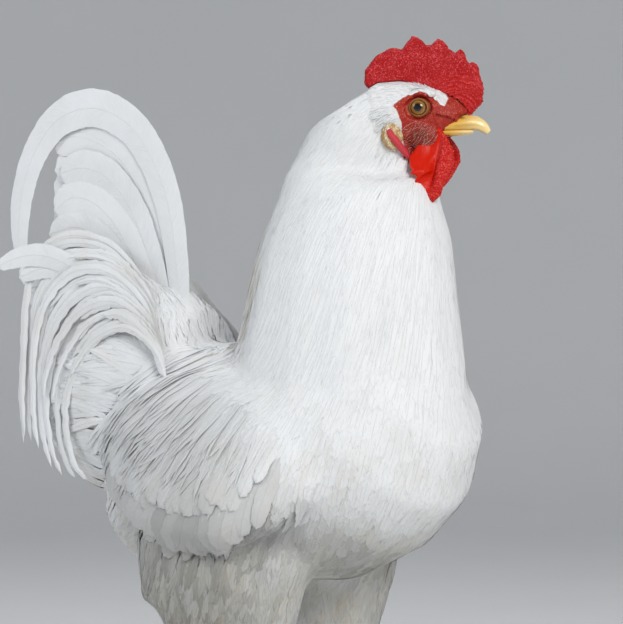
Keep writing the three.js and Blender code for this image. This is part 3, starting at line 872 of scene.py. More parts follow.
class Body:
    """The bird's outline as one surface, and the skin that lies inside it by the coat's depth."""

    def __init__(self, voxel: float = 3.2, relax: int = 16, reach: float = 14.0) -> None:
        """Joins the solids of flesh into one even surface and remembers which solid each part came from."""
        copies = [copy_node(n) for n in FLESH[:-1]] + [self.mound()]
        shells = [(corners(o).tolist(), [tuple(p.vertices) for p in o.data.polygons]) for o in copies]
        trees = [BVHTree.FromPolygons(*shell) for shell in shells]
        self.outline = join("outline", copies + [lump(place, half) for place, half in THROAT])
        remesh(self.outline, voxel, relax)
        self.surface = Surface(self.outline)
        owners = []
        for middle in self.surface.middles.tolist():
            away = [t.find_nearest(Vector(middle), reach)[3] for t in trees]
            owners.append(min(range(len(trees)), key=lambda k: math.inf if away[k] is None else away[k]))
        self.owner = np.array(owners)

    @staticmethod
    def mound() -> bpy.types.Object:
        """The soft mass of the tail's coverts, without the feathers that droop from it."""
        front = [(-66, 326, 36, 48), (-90, 324, 42, 66), (-116, 322, 44, 78)]
        rear = [(-156, 326, 40, 78), (-190, 335, 30, 60), (-214, 344, 14, 30)]
        s = spline(front + rear, 22)
        path = np.stack([s[:, 0] + SHIFT, np.zeros(len(s)), s[:, 1]], 1)
        return tube("mound", path, s[:, 2], s[:, 3], (0, 1, 0), 40)

    def faces(self, nodes: Sequence[str], rule: "Rule") -> np.ndarray:
        """Triangles that came from some solids and pass a rule on their middles and normals."""
        s = self.surface
        mine = np.isin(self.owner, [FLESH.index(n) for n in nodes])
        return np.flatnonzero(mine & rule(s.middles, unit(s.normals[s.tris].sum(1))))


# ---------------------------------------------------------------- head


@dataclass
class Face:
    """The head under its feathers: skull, lids round each eye, cheeks, the fold over the earlobe and the bare skin.

    Attributes:
        voxel: The fineness of its surface.
        eye_side: How far aside the eyeballs' middles are.
        eye_radius: Their radius.
        opening: Half length and half height of the gap between the lids.
        rim: What the gap's edge is called once distances are scaled to make it round.
        bare_outline: The bare skin's outline, ahead and up.
        ear_outline: The ear tuft's outline.
        fold_path: The path of the fold over the earlobe.
    """

    voxel: float = 0.62
    eye_side: float = EYE_SIDE
    eye_radius: float = EYE_RADIUS
    opening: Flat = (5.5, 4.95)
    rim: float = 5.2
    bare_outline: tuple[Flat, ...] = (
        (-16.5, 1.2), (-11, 5.9), (-5, 9.2), (1.4, 10.6), (6.7, 8.6), (11.5, 4.5), (16.4, 0.8), (18, 6), (12, 16),
        (4, 26), (30, 26), (34, -8), (26, -24), (16, -32), (0, -42), (-5, -34.5), (-9.5, -26), (-10.8, -17),
        (-10.4, -10), (-12.4, -5), (-13.6, -1.5),
    )
    ear_outline: tuple[Flat, ...] = (
        (-27, 2), (-16, 1.2), (-13.4, -1.5), (-12.2, -5), (-10.6, -9.5), (-16, -9.8), (-22, -9.5), (-27, -7),
    )
    fold_path: tuple[Point, ...] = (
        (-19.6, 14.0, -11.5), (-17.6, 19.2, -16.2), (-13.5, 18.6, -22), (-9.2, 15.6, -28), (-5.2, 11.5, -33.5),
    )

    def fold(self, side: int) -> bpy.types.Object:
        """The red fold of skin that crosses the earlobe on its way down to the throat."""
        path = spline(self.fold_path, 24) * [1, side, 1]
        share = np.linspace(0, 1, 24)
        width = 1.2 + 2.0 * np.sin(math.pi * np.clip(share * 0.95 + 0.05, 0, 1)) ** 0.7
        return tube("fold", HEAD.outward(path), width, width * 0.8, HEAD.axes[1] * side)

    def build(self) -> bpy.types.Object:
        """Joins the head's parts into one fine surface and shapes it round the eyes."""
        parts = [copy_node("head")]
        for side in SIDES.values():
            cheek, brow = lump((2, side * 10.6, -17.5), (11, 5.4, 8.5)), lump((2.5, side * 11.6, 9.0), (9, 3.4, 3.2))
            parts += [self.fold(side), cheek, brow, lump((0, side * self.eye_side, 0), (6.2, 6.2, 6.2))]
        chin, snout = lump((2, 0, -25), (11, 9, 8)), lump((17, 0, -1), (6.5, 4.6, 8))
        parts += [chin, snout]
        head = join("head_clay", parts)
        remesh(head, self.voxel, 5)
        self.shape(head)
        return head

    def shape(self, head: bpy.types.Object) -> None:
        """Opens the lids over the eyeballs and raises papillae and wrinkles on the bare skin."""
        q = head_corners(head)
        x, y, z = q.T
        side = np.sign(y)
        rho = np.hypot(x / (self.opening[0] / self.rim), z / (self.opening[1] / self.rim))
        ball = self.eye_side + np.sqrt(np.maximum(self.eye_radius**2 - np.hypot(x, z) ** 2, 0))
        near = (np.abs(y) > 8.0) & (rho < 9.5)
        upper = np.clip(z / 5.0, -1, 1)
        lip = ball + 0.15 + (0.95 + 0.25 * upper) * bell(rho, 6.05, 0.62)
        ring = np.where(rho < self.rim, ball - 0.9 * smoothstep(5.35, 4.6, rho), lip)
        outer = smoothstep(6.7, 9.3, rho)
        groove = -0.35 * bell(rho, 7.3, 0.45) + 0.22 * bell(rho, 8.2, 0.5)
        target = ring * (1 - outer) + np.abs(y) * outer + groove
        y = np.where(near, side * target, y)
        q[:, 1] = y
        place_head_corners(head, q)
        self.open_beak(head)
        q = head_corners(head)
        bare = np.clip(inside_distance(self.bare_outline, q[:, [0, 2]]) / 2.0, 0, 1)
        calm = smoothstep(5.6, 8.0, rho)
        rings = np.sin(rho * 3.1 + drift(q, 3.0, 5) * 2.0) * 0.12 * smoothstep(14, 7, rho) * calm
        papillae = (grains(q, PAPILLA, 3) - 0.5) * 0.34 * bare * (0.25 + 0.75 * calm)
        bumps = papillae + drift(q, 2.4, 9) * 0.16 * bare + rings * bare
        canthus = bell(z - 0.2 + 0.05 * x, 0, 0.7) * smoothstep(-6.4, -8.0, x) * smoothstep(-17, -13, x)
        emboss(head, bumps - 0.55 * canthus * (np.abs(y) > 9))

    @staticmethod
    def open_beak(head: bpy.types.Object) -> None:
        """Draws the flesh in round the beak, so that the horn starts at the corner of the mouth."""
        q = head_corners(head)
        x, y, z = q.T
        slope = 0.28 * (x - 14)
        band = smoothstep(-18.6, -17.4, z) * smoothstep(-4.2 - slope, -7.2 - slope, z)
        ahead = smoothstep(11.0, 14.5, x + 0.35 * (z + 13))
        wide = np.interp(x, (10, 16, 22, 29), (5.6, 4.4, 3.2, 2.0))
        drawn = np.sign(y) * (wide + (np.abs(y) - wide) * (1 - band * ahead))
        q[:, 1] = np.where(np.abs(y) > wide, drawn, y)
        q[:, 0] -= 5.0 * smoothstep(22, 28, x) * smoothstep(-2, -6, z)
        place_head_corners(head, q)


@dataclass
class Skin:
    """The one skin of trunk, neck, head, wings, thighs and tail root."""

    body: Body
    face: Face
    voxel: float = 2.9
    depth: float = 2.0
    throat_depth: float = 1.3

    def build(self, head: bpy.types.Object) -> bpy.types.Object:
        """Draws the outline in by the coat's depth, joins the fine head to it and marks the bare skin."""
        skin = duplicate(self.body.outline)
        points, normals = corners(skin), corner_normals(skin)
        away = np.linalg.norm(HEAD.inward(points), axis=1)
        depth = self.throat_depth + (self.depth - self.throat_depth) * smoothstep(38, 90, away)
        place_corners(skin, points - normals * depth[:, None])
        remesh(skin, self.voxel, 3)
        finish_modifier(skin, "BOOLEAN", operation="UNION", solver="MANIFOLD", object=head)
        bpy.data.objects.remove(head)
        skin.name = skin.data.name = "skin"
        bpy.ops.object.shade_smooth()
        self.mark(skin)
        return skin

    def mark(self, skin: bpy.types.Object) -> None:
        """Stores where the skin is bare, brown, part of a lid, part of the fold, and grained."""
        q = head_corners(skin)
        on_head = np.linalg.norm(q, axis=1) < 62
        flat = q[:, [0, 2]]
        bare = np.full(len(q), -9.0)
        bare[on_head] = inside_distance(self.face.bare_outline, flat[on_head])
        fold = np.zeros(len(q))
        for side in SIDES.values():
            path = spline(self.face.fold_path, 24) * [1, side, 1]
            away = np.min([np.linalg.norm(q - p, axis=1) for p in path], axis=0)
            fold = np.maximum(fold, smoothstep(4.4, 2.9, away))
        bare = np.maximum(bare, (fold - 0.5) * 4 - (fold == 0) * 9)
        x, y, z = q.T
        rho = np.hypot(x / 1.06, z / 0.95)
        lid = smoothstep(6.9, 6.2, rho) * (np.abs(y) > 9) * on_head
        cheek = np.clip(bell_at(x, z, (1, -18.5), (8.5, 6.5)) * 1.2, 0, 1)
        grain = np.zeros(len(q))
        grain[on_head] = grains(q[on_head], PAPILLA, 3)
        store(skin, bare=bare, fold=fold, lid=lid, cheek=cheek, grain=grain)


@dataclass
class Comb:
    """The single comb: a granular blade with wrinkled folds over the beak and rounded points.

    Attributes:
        voxel: The fineness of its surface.
        points: Where points rise or sink: place ahead and up, reach and rise.
        knobs: Where they swell: place ahead and up.
    """

    voxel: float = 0.6
    points: tuple[tuple[float, float, float, float], ...] = (
        (26.4, 35.0, 3.2, 3.2), (21.5, 37.0, 1.6, -0.8), (34.8, 27.0, 3.2, 3.0), (30.6, 30.0, 1.6, -0.6),
    )
    knobs: tuple[Flat, ...] = ((-6.6, 42.0), (11.0, 40.2), (26.4, 35.0), (34.8, 27.0))

    def build(self) -> bpy.types.Object:
        """Refines the solid of the comb, seats it on the head and raises its grain and folds."""
        comb = refined("comb_flesh", ["comb"], self.voxel, 4)
        q = head_corners(comb)
        low = smoothstep(24, 14, np.hypot(q[:, 0], q[:, 2] + 2)) * (q[:, 2] < 20)
        q[:, 2] -= 1.6 * low
        q[:, 0] -= 1.2 * smoothstep(22, 30, q[:, 0]) * smoothstep(6, -10, q[:, 2])
        q[:, 1] *= 1 + 0.28 * smoothstep(22, 12, q[:, 2])
        for x, z, reach, rise in self.points:
            share = bell_at(q[:, 0], q[:, 2], (x, z), (reach, reach * 1.6))
            q[:, [0, 2]] += share[:, None] * rise * np.array([-0.25, 1])
        for x, z in self.knobs:
            q[:, 0] += 0.75 * (q[:, 0] - x) * bell_at(q[:, 0], q[:, 2], (x, z), (3.4, 2.6))
        place_head_corners(comb, q)
        away = np.hypot(q[:, 0] - 24, q[:, 2] + 4)
        folded = smoothstep(34, 20, away) * smoothstep(36, 24, q[:, 2])
        wave = np.sin(away * 2.7 + drift(q * [1, 0, 1], 4.2, 4) * 4.4) * 0.5 + 0.5
        grain = grains(q, 1.2, 8)
        rough = (grain - 0.5) * 0.42 * (1 - 0.5 * folded) + drift(q, 3.6, 6) * 0.3
        emboss(comb, rough + (wave**0.6 - 0.5) * 0.62 * folded)
        # grain tops and fold crests that get the flesh's pale pink, partly painted highlight
        highlight_on_grains = np.clip(grain * (1 - folded * 0.4) + wave * folded * 0.4, 0, 1)
        store(comb, grain=highlight_on_grains, smooth=0.35 * smoothstep(0.8, 0.3, wave) * folded)
        return comb


@dataclass
class Wattle:
    """One wattle: a hollowed leaf with an upright fold, a papillate front strip and a thick rim."""

    word: str
    voxel: float = 0.6
    rear_shares: tuple[float, ...] = (0.42, 0.5, 0.56, 0.6, 0.65, 0.7, 0.75, 0.82, 0.9, 1)
    rear_bulge: tuple[float, ...] = (0, -0.6, -1.5, 0.8, 3.8, 5.6, 5.8, 5.2, 3.4, 0)

    def build(self) -> bpy.types.Object:
        """Refines the solid, hollows its outer face and folds it."""
        wattle = refined(f"wattle_flesh_{self.word}", [f"wattle_{self.word}"], self.voxel, 5)
        side = SIDES[self.word]
        q = head_corners(wattle)
        x, z = q[:, 0], q[:, 2]
        top, bottom = z.max(), z.min()
        share = (top - z) / (top - bottom)
        lean = x - (14.5 - 8.0 * share)
        front = smoothstep(1.0, 3.4, lean)
        hollow = bell(lean, -4.5, 5.0) * smoothstep(0.0, 0.25, share) * smoothstep(1.0, 0.72, share)
        crease = bell(lean, 0.4, 1.1) * smoothstep(0.05, 0.2, share) * smoothstep(0.95, 0.6, share)
        bow = 2.4 * np.sin(share * math.pi) - 1.9 * hollow - 1.3 * crease + 1.2 * front * np.sin(share * math.pi)
        q[:, 1] += side * (bow + 6.2 * smoothstep(0.0, -4.0, lean) * smoothstep(0.25, 0.65, share))
        rear = np.interp(share, self.rear_shares, self.rear_bulge)
        q[:, 0] -= 1.5 * smoothstep(0.12, 0.0, share) + rear * smoothstep(0.6, -2.6, lean)
        q[:, 0] += 0.6 * (lean - 3.2) * smoothstep(0.78, 0.96, share)
        q[:, 2] += 3.0 * smoothstep(0.12, 0.0, share)
        place_head_corners(wattle, q)
        smooth = smoothstep(1.0, -0.5, lean) * smoothstep(1.02, 0.9, share) * (1 - front)
        grain = grains(q, 1.3, 14)
        pleats = drift(q * [1, 1, 0.35], 2.6, 3) * (0.18 + 0.16 * smooth)
        emboss(wattle, (grain - 0.5) * 0.36 * (1 - smooth * 0.85) + pleats + drift(q, 6.0, 2) * 0.35)
        # grain tops that get the flesh's pale pink, partly painted highlight
        store(wattle, grain=grain * (1 - smooth * 0.6), smooth=smooth)
        return wattle


@dataclass
class Earlobe:
    """One earlobe: a granular cream cushion behind the cheek, parted by the red fold."""

    word: str
    voxel: float = 0.55

    def build(self) -> bpy.types.Object:
        """Refines the solid and raises its wrinkles."""
        lobe = refined(f"earlobe_flesh_{self.word}", [f"earlobe_{self.word}"], self.voxel, 3)
        q = head_corners(lobe)
        grain = grains(q * [1.4, 1, 0.8], 1.5, 21)
        crescent = np.sin(np.hypot(q[:, 0] + 9, q[:, 2] + 17) * 1.25) * 0.5 + 0.5
        emboss(lobe, (grain - 0.5) * 0.4 + (crescent - 0.5) * 0.5 + drift(q, 2.0, 5) * 0.2)
        store(lobe, grain=np.clip(0.6 * grain + 0.4 * crescent, 0, 1))
        return lobe


@dataclass
class Eye:
    """One eyeball with a swollen clear front."""

    word: str
    side_place: float = EYE_SIDE
    radius: float = EYE_RADIUS
    rings: int = 64
    sides: int = 96

    def build(self) -> bpy.types.Object:
        """Makes a fine ball, bulges its front and stores the distance from its axis."""
        side = SIDES[self.word]
        drop = np.arange(1, self.rings)[:, None] / self.rings * math.pi
        turn = np.arange(self.sides)[None] / self.sides * 2 * math.pi
        level = np.broadcast_to(np.cos(drop), (self.rings - 1, self.sides))
        ball = np.stack([np.sin(drop) * np.cos(turn), level, np.sin(drop) * np.sin(turn)], -1)
        pole = np.array([0, self.radius, 0])
        eye = closed_rings(f"eyeball_{self.word}", ball * self.radius, pole, -pole)
        q = corners(eye)
        radial = np.hypot(q[:, 0], q[:, 2])
        outer = q[:, 1] * side > 0
        q[:, 1] += side * 0.28 * smoothstep(4.9, 3.2, radial) * outer
        q[:, 1] += side * self.side_place
        place_head_corners(eye, q)
        store(eye, radial=np.where(outer, radial, 9.0))
        return eye


@dataclass
class Beak:
    """Upper and lower beak, swept from the face to the hooked tip: places with half width and half height."""

    upper: tuple[tuple[float, ...], ...] = (
        (8, 0, -12.6, 7.6, 2.4), (15, 0, -11.5, 7.2, 4.0), (22, 0, -10.4, 6.4, 5.3), (29, 0, -9.8, 5.1, 5.8),
        (35.2, 0, -10.2, 3.7, 4.9), (40, 0, -12.5, 2.4, 3.6), (43.2, 0, -15.6, 1.0, 1.9),
    )
    lower: tuple[tuple[float, ...], ...] = (
        (8, 0, -15.6, 6.9, 2.2), (16, 0, -15.6, 6.1, 2.4), (24, 0, -15.2, 4.6, 2.2), (33, 0, -14.9, 2.2, 1.3),
    )

    def sweep(self, name: str, stations: Sequence[Sequence[float]], upper: bool) -> bpy.types.Object:
        """Sweeps one half of the beak and gives it a ridge, a cutting edge and, above, nostrils."""
        s = spline(stations, 56)
        half = tube(name, HEAD.outward(s[:, :3]), s[:, 3], s[:, 4], HEAD.axes[1], 40)
        q = head_corners(half)
        share = (q[:, 0] - q[:, 0].min()) / (q[:, 0].max() - q[:, 0].min())
        middle, wide, height = (np.interp(q[:, 0], s[:, 0], s[:, k]) for k in (2, 3, 4))
        level = (q[:, 2] - middle) / height
        across = q[:, 1] / wide
        dark = np.zeros(len(q))
        if upper:
            q[:, 1] *= 1 - 0.22 * np.clip(level, 0, 1) + 0.05 * bell(level, -0.55, 0.25)
            q[:, 2] += np.where(level < -0.6, (-0.6 - level) * height * 0.55, 0) * smoothstep(40, 34, q[:, 0])
            tilted = q[:, 2] + 6.0 + (q[:, 0] - 25.5) * 0.1
            slot = bell_at(q[:, 0], tilted, (25.5, 0), (2.6, 0.7)) * (np.abs(across) > 0.4)
            q[:, 1] -= np.sign(q[:, 1]) * slot * 1.5
            flow = bell(level + 0.02 + 0.25 * np.sin(share * 3.0), 0, 0.2)
            flow = flow * smoothstep(0.3, 0.45, share) * smoothstep(0.9, 0.6, share) * 0.55
            # dark: a streak along each side, with painted shade in the nostril slot and along the lower edge at the
            # mouth line
            dark = np.clip(flow + slot * 1.3 + smoothstep(-0.62, -0.95, level) * 0.5, 0, 1)
        q += drift(q * [0.3, 1, 1], 1.6, 7)[:, None] * 0.06 * [0, 1, 1]
        place_head_corners(half, q)
        store(half, along=share, dark=dark)
        return half

    def build(self) -> tuple[bpy.types.Object, bpy.types.Object]:
        """Builds both halves."""
        return self.sweep("upper_beak", self.upper, True), self.sweep("lower_beak", self.lower, False)


# ---------------------------------------------------------------- feathers


class Tip(Enum):
    """How a vane's outline ends: knots of share along and share of half width."""

    POINTED = ((0, 0.22), (0.12, 0.62), (0.35, 1.0), (0.6, 0.93), (0.8, 0.66), (0.92, 0.36), (1, 0.06))
    ROUND = ((0, 0.25), (0.12, 0.7), (0.38, 1.0), (0.82, 1.0), (0.9, 0.9), (0.95, 0.72), (0.98, 0.48), (1, 0.15))
    SICKLE = ((0, 0.45), (0.12, 0.7), (0.3, 0.9), (0.6, 1.0), (0.85, 0.8), (0.95, 0.58), (1, 0.2))
    STRAND = ((0, 0.6), (0.2, 1.0), (0.5, 0.8), (0.8, 0.45), (1, 0.08))


@dataclass(frozen=True)
class Vane:
    """One kind of feather. Lengths are millimetres.

    Attributes:
        tip: Its outline.
        columns: Faces across it.
        stations: Points along its shaft.
        dome: How far its edges sink below the shaft.
        thick: Half its thickness.
        fray: How ragged its edges are, as a share of its width.
        sweep: How far its barbs lean to the tip, as a share of its width.
        ridge: Height of the shaft over the vane.
        crowd: How much its stations crowd to the tip.
    """

    tip: Tip = Tip.POINTED
    columns: int = 4
    stations: int = 10
    dome: float = 0.25
    thick: float = 0.14
    fray: float = 0.12
    sweep: float = 0.35
    ridge: float = 0.16
    crowd: float = 1.0

    def shares(self) -> np.ndarray:
        """Where the stations fall along the shaft, closer together near the tip."""
        return 1 - (1 - np.linspace(0, 1, self.stations)) ** self.crowd


@dataclass
class Coat:
    """Gathers vanes into pieces, each with its barb map and its place on the skin's unwrap."""

    unwrap: Surface
    rng: np.random.Generator

    def root_places(self, roots: np.ndarray) -> np.ndarray:
        """Where roots fall on the skin's unwrap."""
        place, _, index = self.unwrap.nearest(roots)
        shares = self.unwrap.weights(place, index)
        return (self.unwrap.corner_uv[index] * shares[:, :, None]).sum(1)

    def grow(
        self, name: str, paths: np.ndarray, normals: np.ndarray, half: np.ndarray, vane: Vane,
        warm: np.ndarray | float, roll: float, bank: float = 0.0,
    ) -> bpy.types.Object:
        """Makes one closed vane along every path and joins them into a piece.

        Args:
            name: The piece's name.
            paths: Points from root to tip, of shape (vanes, stations, 3).
            normals: The outward direction at each of them.
            half: Each vane's greatest half width.
            vane: The kind of feather.
            warm: How cream-coloured each vane is, from 0 to 1.
            roll: How far vanes are tipped about their shafts, so that neighbours part.
            bank: How far all of them are tipped the same way.

        Returns:
            The piece.
        """
        n, s, _ = paths.shape
        c, r = vane.columns, vane.columns * 2
        rng = self.rng
        share = vane.shares()
        low = np.minimum((share * (s - 1)).astype(int), s - 2)
        part = (share * (s - 1) - low)[None, :, None]
        paths = paths[:, low] * (1 - part) + paths[:, low + 1] * part
        normals = unit(normals[:, low] * (1 - part) + normals[:, low + 1] * part)
        outline = np.interp(share, *zip(*vane.tip.value))
        tangent = unit(np.gradient(paths, axis=1))
        across = unit(np.cross(normals, tangent))
        out = np.cross(tangent, across)
        wide = half[:, None] * outline[None]
        step = np.linalg.norm(np.diff(paths, axis=1), axis=2)
        length = np.concatenate([np.zeros((n, 1)), np.cumsum(step, axis=1)], axis=1)
        column = np.concatenate([np.arange(c + 1), np.arange(c - 1, 0, -1)]) / c * 2 - 1
        top = np.concatenate([np.ones(c + 1), -np.ones(c - 1)])
        inner = slice(1, s - 1)
        rag = 1 + rng.uniform(-1, 0.5, (n, s - 2, 2)) * vane.fray * np.linspace(0.4, 1.4, s - 2)[None, :, None]
        edge = np.where(column[None, None] < 0, rag[:, :, :1], rag[:, :, 1:])
        side = column[None, None] * wide[:, inner, None] * edge
        tilt = bank + rng.uniform(-roll, roll, (n, 1, 1))
        body = 1 - column**2
        high = top * vane.thick * body - vane.dome * column**2 + vane.ridge * bell(column, 0, 0.12) * (top > 0)
        lift = high[None, None] + side * tilt
        back = np.abs(column)[None, None] * wide[:, inner, None] * vane.sweep
        shifts = ((across, side), (out, lift), (tangent, back))
        rings = sum((way[:, inner, None] * size[..., None] for way, size in shifts), start=paths[:, inner, None])
        tips = paths[:, -1:] + tangent[:, -1:] * half[:, None, None] * 0.15
        points = np.concatenate([rings.reshape(n, -1, 3), paths[:, :1], tips], axis=1)
        per = points.shape[1]
        quads = ring_quads(s - 2, r)
        tris = np.vstack([cap(0, r, per - 2), cap((s - 3) * r, r, per - 1, True)])
        shift = (np.arange(n) * per)[:, None, None]
        quads, tris = (quads[None] + shift).reshape(-1, 4), (tris[None] + shift).reshape(-1, 3)
        obj = from_arrays(name, points.reshape(-1, 3), quads, tris)
        u = np.concatenate([np.broadcast_to(side / 10, (n, s - 2, r)).reshape(n, -1), np.zeros((n, 2))], 1)
        v = np.concatenate([np.repeat(length[:, inner], r, axis=1), length[:, :1], length[:, -1:]], 1) / 10
        along = np.concatenate([np.repeat(share[inner], r), [0, 1]])
        self.map(obj, "Vane", np.stack([u, v], -1).reshape(-1, 2))
        flat = np.concatenate([np.tile((column + 1) / 2, s - 2), [0.5, 0.5]])
        roots = self.root_places(paths[:, 0])[:, None] * UNWRAP_SHARE
        patch = np.stack([flat, along], -1)[None] * PATCH + roots
        self.map(obj, "OFBake", patch.reshape(-1, 2))
        tint = rng.random(n)
        # how much shade is painted into each vane, by the place of its middle
        dull = dullness(paths[:, s // 2]) * rng.uniform(0.85, 1.15, n)
        tint, warm, dull = (np.repeat(np.broadcast_to(each, (n,)), per) for each in (tint, warm, dull))
        store(obj, tint=tint, along=np.tile(along, n), warm=warm, dull=dull)
        self.crease(obj, per, r, s, c)
        return obj

    @staticmethod
    def map(obj: bpy.types.Object, name: str, per_vertex: np.ndarray) -> None:
        """Writes a UV map from one place a vertex."""
        loops = np.zeros(len(obj.data.loops), np.int32)
        obj.data.loops.foreach_get("vertex_index", loops)
        obj.data.uv_layers.new(name=name).data.foreach_set("uv", per_vertex[loops].astype(np.float32).ravel())

    @staticmethod
    def crease(obj: bpy.types.Object, per: int, ring: int, stations: int, columns: int) -> None:
        """Marks the thin rims sharp, so that the two faces of a vane shade apart."""
        ends = np.zeros(len(obj.data.edges) * 2, np.int32)
        obj.data.edges.foreach_get("vertices", ends)
        ends = ends.reshape(-1, 2)
        local = ends % per
        on_ring = (local < ring * (stations - 2)).all(1)
        side = np.isin(local % ring, (0, columns))
        rim = on_ring & side.all(1) & (np.abs(local[:, 0] - local[:, 1]) == ring)
        low, high = local.min(1), local.max(1)
        end = (high >= per - 2) & np.isin(low % ring, (0, columns))
        obj.data.attributes.new("sharp_edge", "BOOLEAN", "EDGE").data.foreach_set("value", rim | end)


def dullness(points: np.ndarray) -> np.ndarray:
    """How much shade is painted into the plumage: most low on wings, thighs and belly, along the wings' edge and
    behind the hackle.
    """
    x, z = bird_x(points), points[:, 2]
    # painted shade on the folded wing's side, which faces away from the key lamp
    wing = smoothstep(75, 5, x) * smoothstep(-135, -85, x) * smoothstep(375, 290, z)
    wing = wing * smoothstep(25, 60, np.abs(points[:, 1]))
    # painted shade low on the belly, thighs and lower breast, below the light from above
    low = smoothstep(285, 200, z) * smoothstep(150, 100, x) * (0.42 + 0.58 * smoothstep(35, 80, x))
    # painted shade on the neck's side towards the nape, away from the key lamp
    ahead = x - np.interp(z, (364, 406, 466, 502), (-19, -9, 12, 53))
    neck = smoothstep(345, 375, z) * smoothstep(515, 480, z) * smoothstep(-50, -30, x)
    # painted shadow along the crevice under the wing's lower edge
    under = bell(above_wing_edge(points), 2, 13) * smoothstep(80, 60, x) * smoothstep(-125, -105, x)
    neck = neck * (0.2 * smoothstep(85, 10, ahead) + 0.2 * smoothstep(22, 2, ahead))
    return np.clip(0.45 * wing + 0.95 * low + neck + 0.65 * under, 0, 0.94)


class Unwrap(Surface):
    """The skin's own flat map: a light copy of it, cut into charts."""

    def __init__(self, skin: bpy.types.Object, faces: int = 13000) -> None:
        """Thins a copy of the skin, unwraps it and keeps the map of every triangle's corners."""
        light = duplicate(skin)
        finish_modifier(light, "DECIMATE", ratio=faces / max(len(light.data.polygons) * 2, 1))
        with editing():
            bpy.ops.mesh.select_all(action="SELECT")
            bpy.ops.uv.smart_project(angle_limit=math.radians(66), island_margin=0.004)
        super().__init__(light)
        loops = np.zeros(len(light.data.loop_triangles) * 3, np.int32)
        light.data.loop_triangles.foreach_get("loops", loops)
        places = np.zeros(len(light.data.loops) * 2, np.float32)
        light.data.uv_layers.active.data.foreach_get("uv", places)
        self.corner_uv = places.reshape(-1, 2)[loops].reshape(-1, 3, 2).astype(float)
        bpy.data.objects.remove(light)


# ---------------------------------------------------------------- the lie of the coat


BEAK = HEAD.origin + HEAD.axes[0] * 25
DOWN = np.array([0, 0, -1.0])


def bird_x(points: np.ndarray) -> np.ndarray:
    """How far ahead of the body's middle points lie."""
    return points[..., 0] - SHIFT


def blend(low: Sequence[float], high: Sequence[float], share: np.ndarray) -> np.ndarray:
    """Mixes two directions by a share a point."""
    return np.asarray(low) * (1 - share[:, None]) + np.asarray(high) * share[:, None]


def sideways(points: np.ndarray, vectors: Sequence[float]) -> np.ndarray:
    """A direction whose Y points away from the middle on both sides."""
    side = np.where(points[:, 1] >= 0, 1.0, -1.0)
    return np.asarray(vectors)[None] * np.stack([np.ones_like(side), side, np.ones_like(side)], 1)


def lie_of_body(points: np.ndarray, normals: np.ndarray) -> np.ndarray:
    """The coat's direction on neck, breast, back, saddle and belly."""
    away = unit(points - BEAK)
    x, z = bird_x(points), points[:, 2]
    neck, breast = away + 0.9 * DOWN, away + [-0.2, 0, -0.6]
    back = sideways(points, (-1, 0.3, -0.35)) * smoothstep(-70, -10, x)[:, None]
    back = back + sideways(points, (-0.8, 0.1, -0.75)) * smoothstep(-10, -70, x)[:, None]
    belly = np.broadcast_to([-0.8, 0, -0.6], points.shape)
    up, front, top = smoothstep(335, 395, z), smoothstep(15, 75, x), smoothstep(-0.25, 0.35, normals[:, 2])
    rear = belly * (1 - top[:, None]) + back * top[:, None]
    low = rear * (1 - front[:, None]) + breast * front[:, None]
    return low * (1 - up[:, None]) + neck * up[:, None]


def lie_of_saddle(points: np.ndarray, normals: np.ndarray) -> np.ndarray:
    """The direction of the long feathers that hang from the back over the wings."""
    return sideways(points, (-0.85, 0.35, -0.8))


def lie_of_wing(points: np.ndarray, normals: np.ndarray) -> np.ndarray:
    """The coat's direction on the folded wings."""
    return blend((-0.38, 0, -1), (-0.8, 0, -0.7), smoothstep(50, -95, bird_x(points)))


def lie_of_thigh(points: np.ndarray, normals: np.ndarray) -> np.ndarray:
    """The coat's direction on the thighs."""
    return np.broadcast_to([-0.25, 0, -1.0], points.shape)


def lie_of_tail(points: np.ndarray, normals: np.ndarray) -> np.ndarray:
    """The coat's direction on the tail coverts: up and back, then over and down."""
    x, z = bird_x(points) + 168, points[:, 2] - 225
    turn = unit(np.stack([-z, np.zeros_like(x), x], 1))
    return turn + [-0.35, 0, -0.25]


def lie_of_cushion(points: np.ndarray, normals: np.ndarray) -> np.ndarray:
    """The loose feathers in front of the tail: up and outwards."""
    return sideways(points, (-0.15, 0.35, 1.0))


def lie_of_head(points: np.ndarray, normals: np.ndarray) -> np.ndarray:
    """The coat's direction on the head: away from the beak, more and more downwards behind."""
    away = unit(points - BEAK)
    x, _, z = HEAD.inward(points).T
    stripe = (smoothstep(-2, 6, x) * smoothstep(-1, 3, z))[:, None]
    rest = away + DOWN * (0.25 + 0.5 * smoothstep(-10, -30, x))[:, None]
    return rest * (1 - stripe) + (HEAD.axes[2] * 0.75 - HEAD.axes[0] * 0.7) * stripe


def lie_of_brow(points: np.ndarray, normals: np.ndarray) -> np.ndarray:
    """The wisps over the eyes: up the side of the comb and a little back."""
    return np.broadcast_to(HEAD.axes[2] - 0.45 * HEAD.axes[0], points.shape)


Rule = Callable[[np.ndarray, np.ndarray], np.ndarray]
Measure = Callable[[np.ndarray], np.ndarray]


def ramp(axis: int, *knots: tuple[float, float]) -> Measure:
    """A measure that runs through knots of coordinate and value along one axis of the row frame."""
    places, values = zip(*sorted(knots))
    return lambda points: np.interp(points[:, axis], places, values)


def even(value: float) -> Measure:
    """A measure that is the same everywhere."""
    return lambda points: np.full(len(points), float(value))


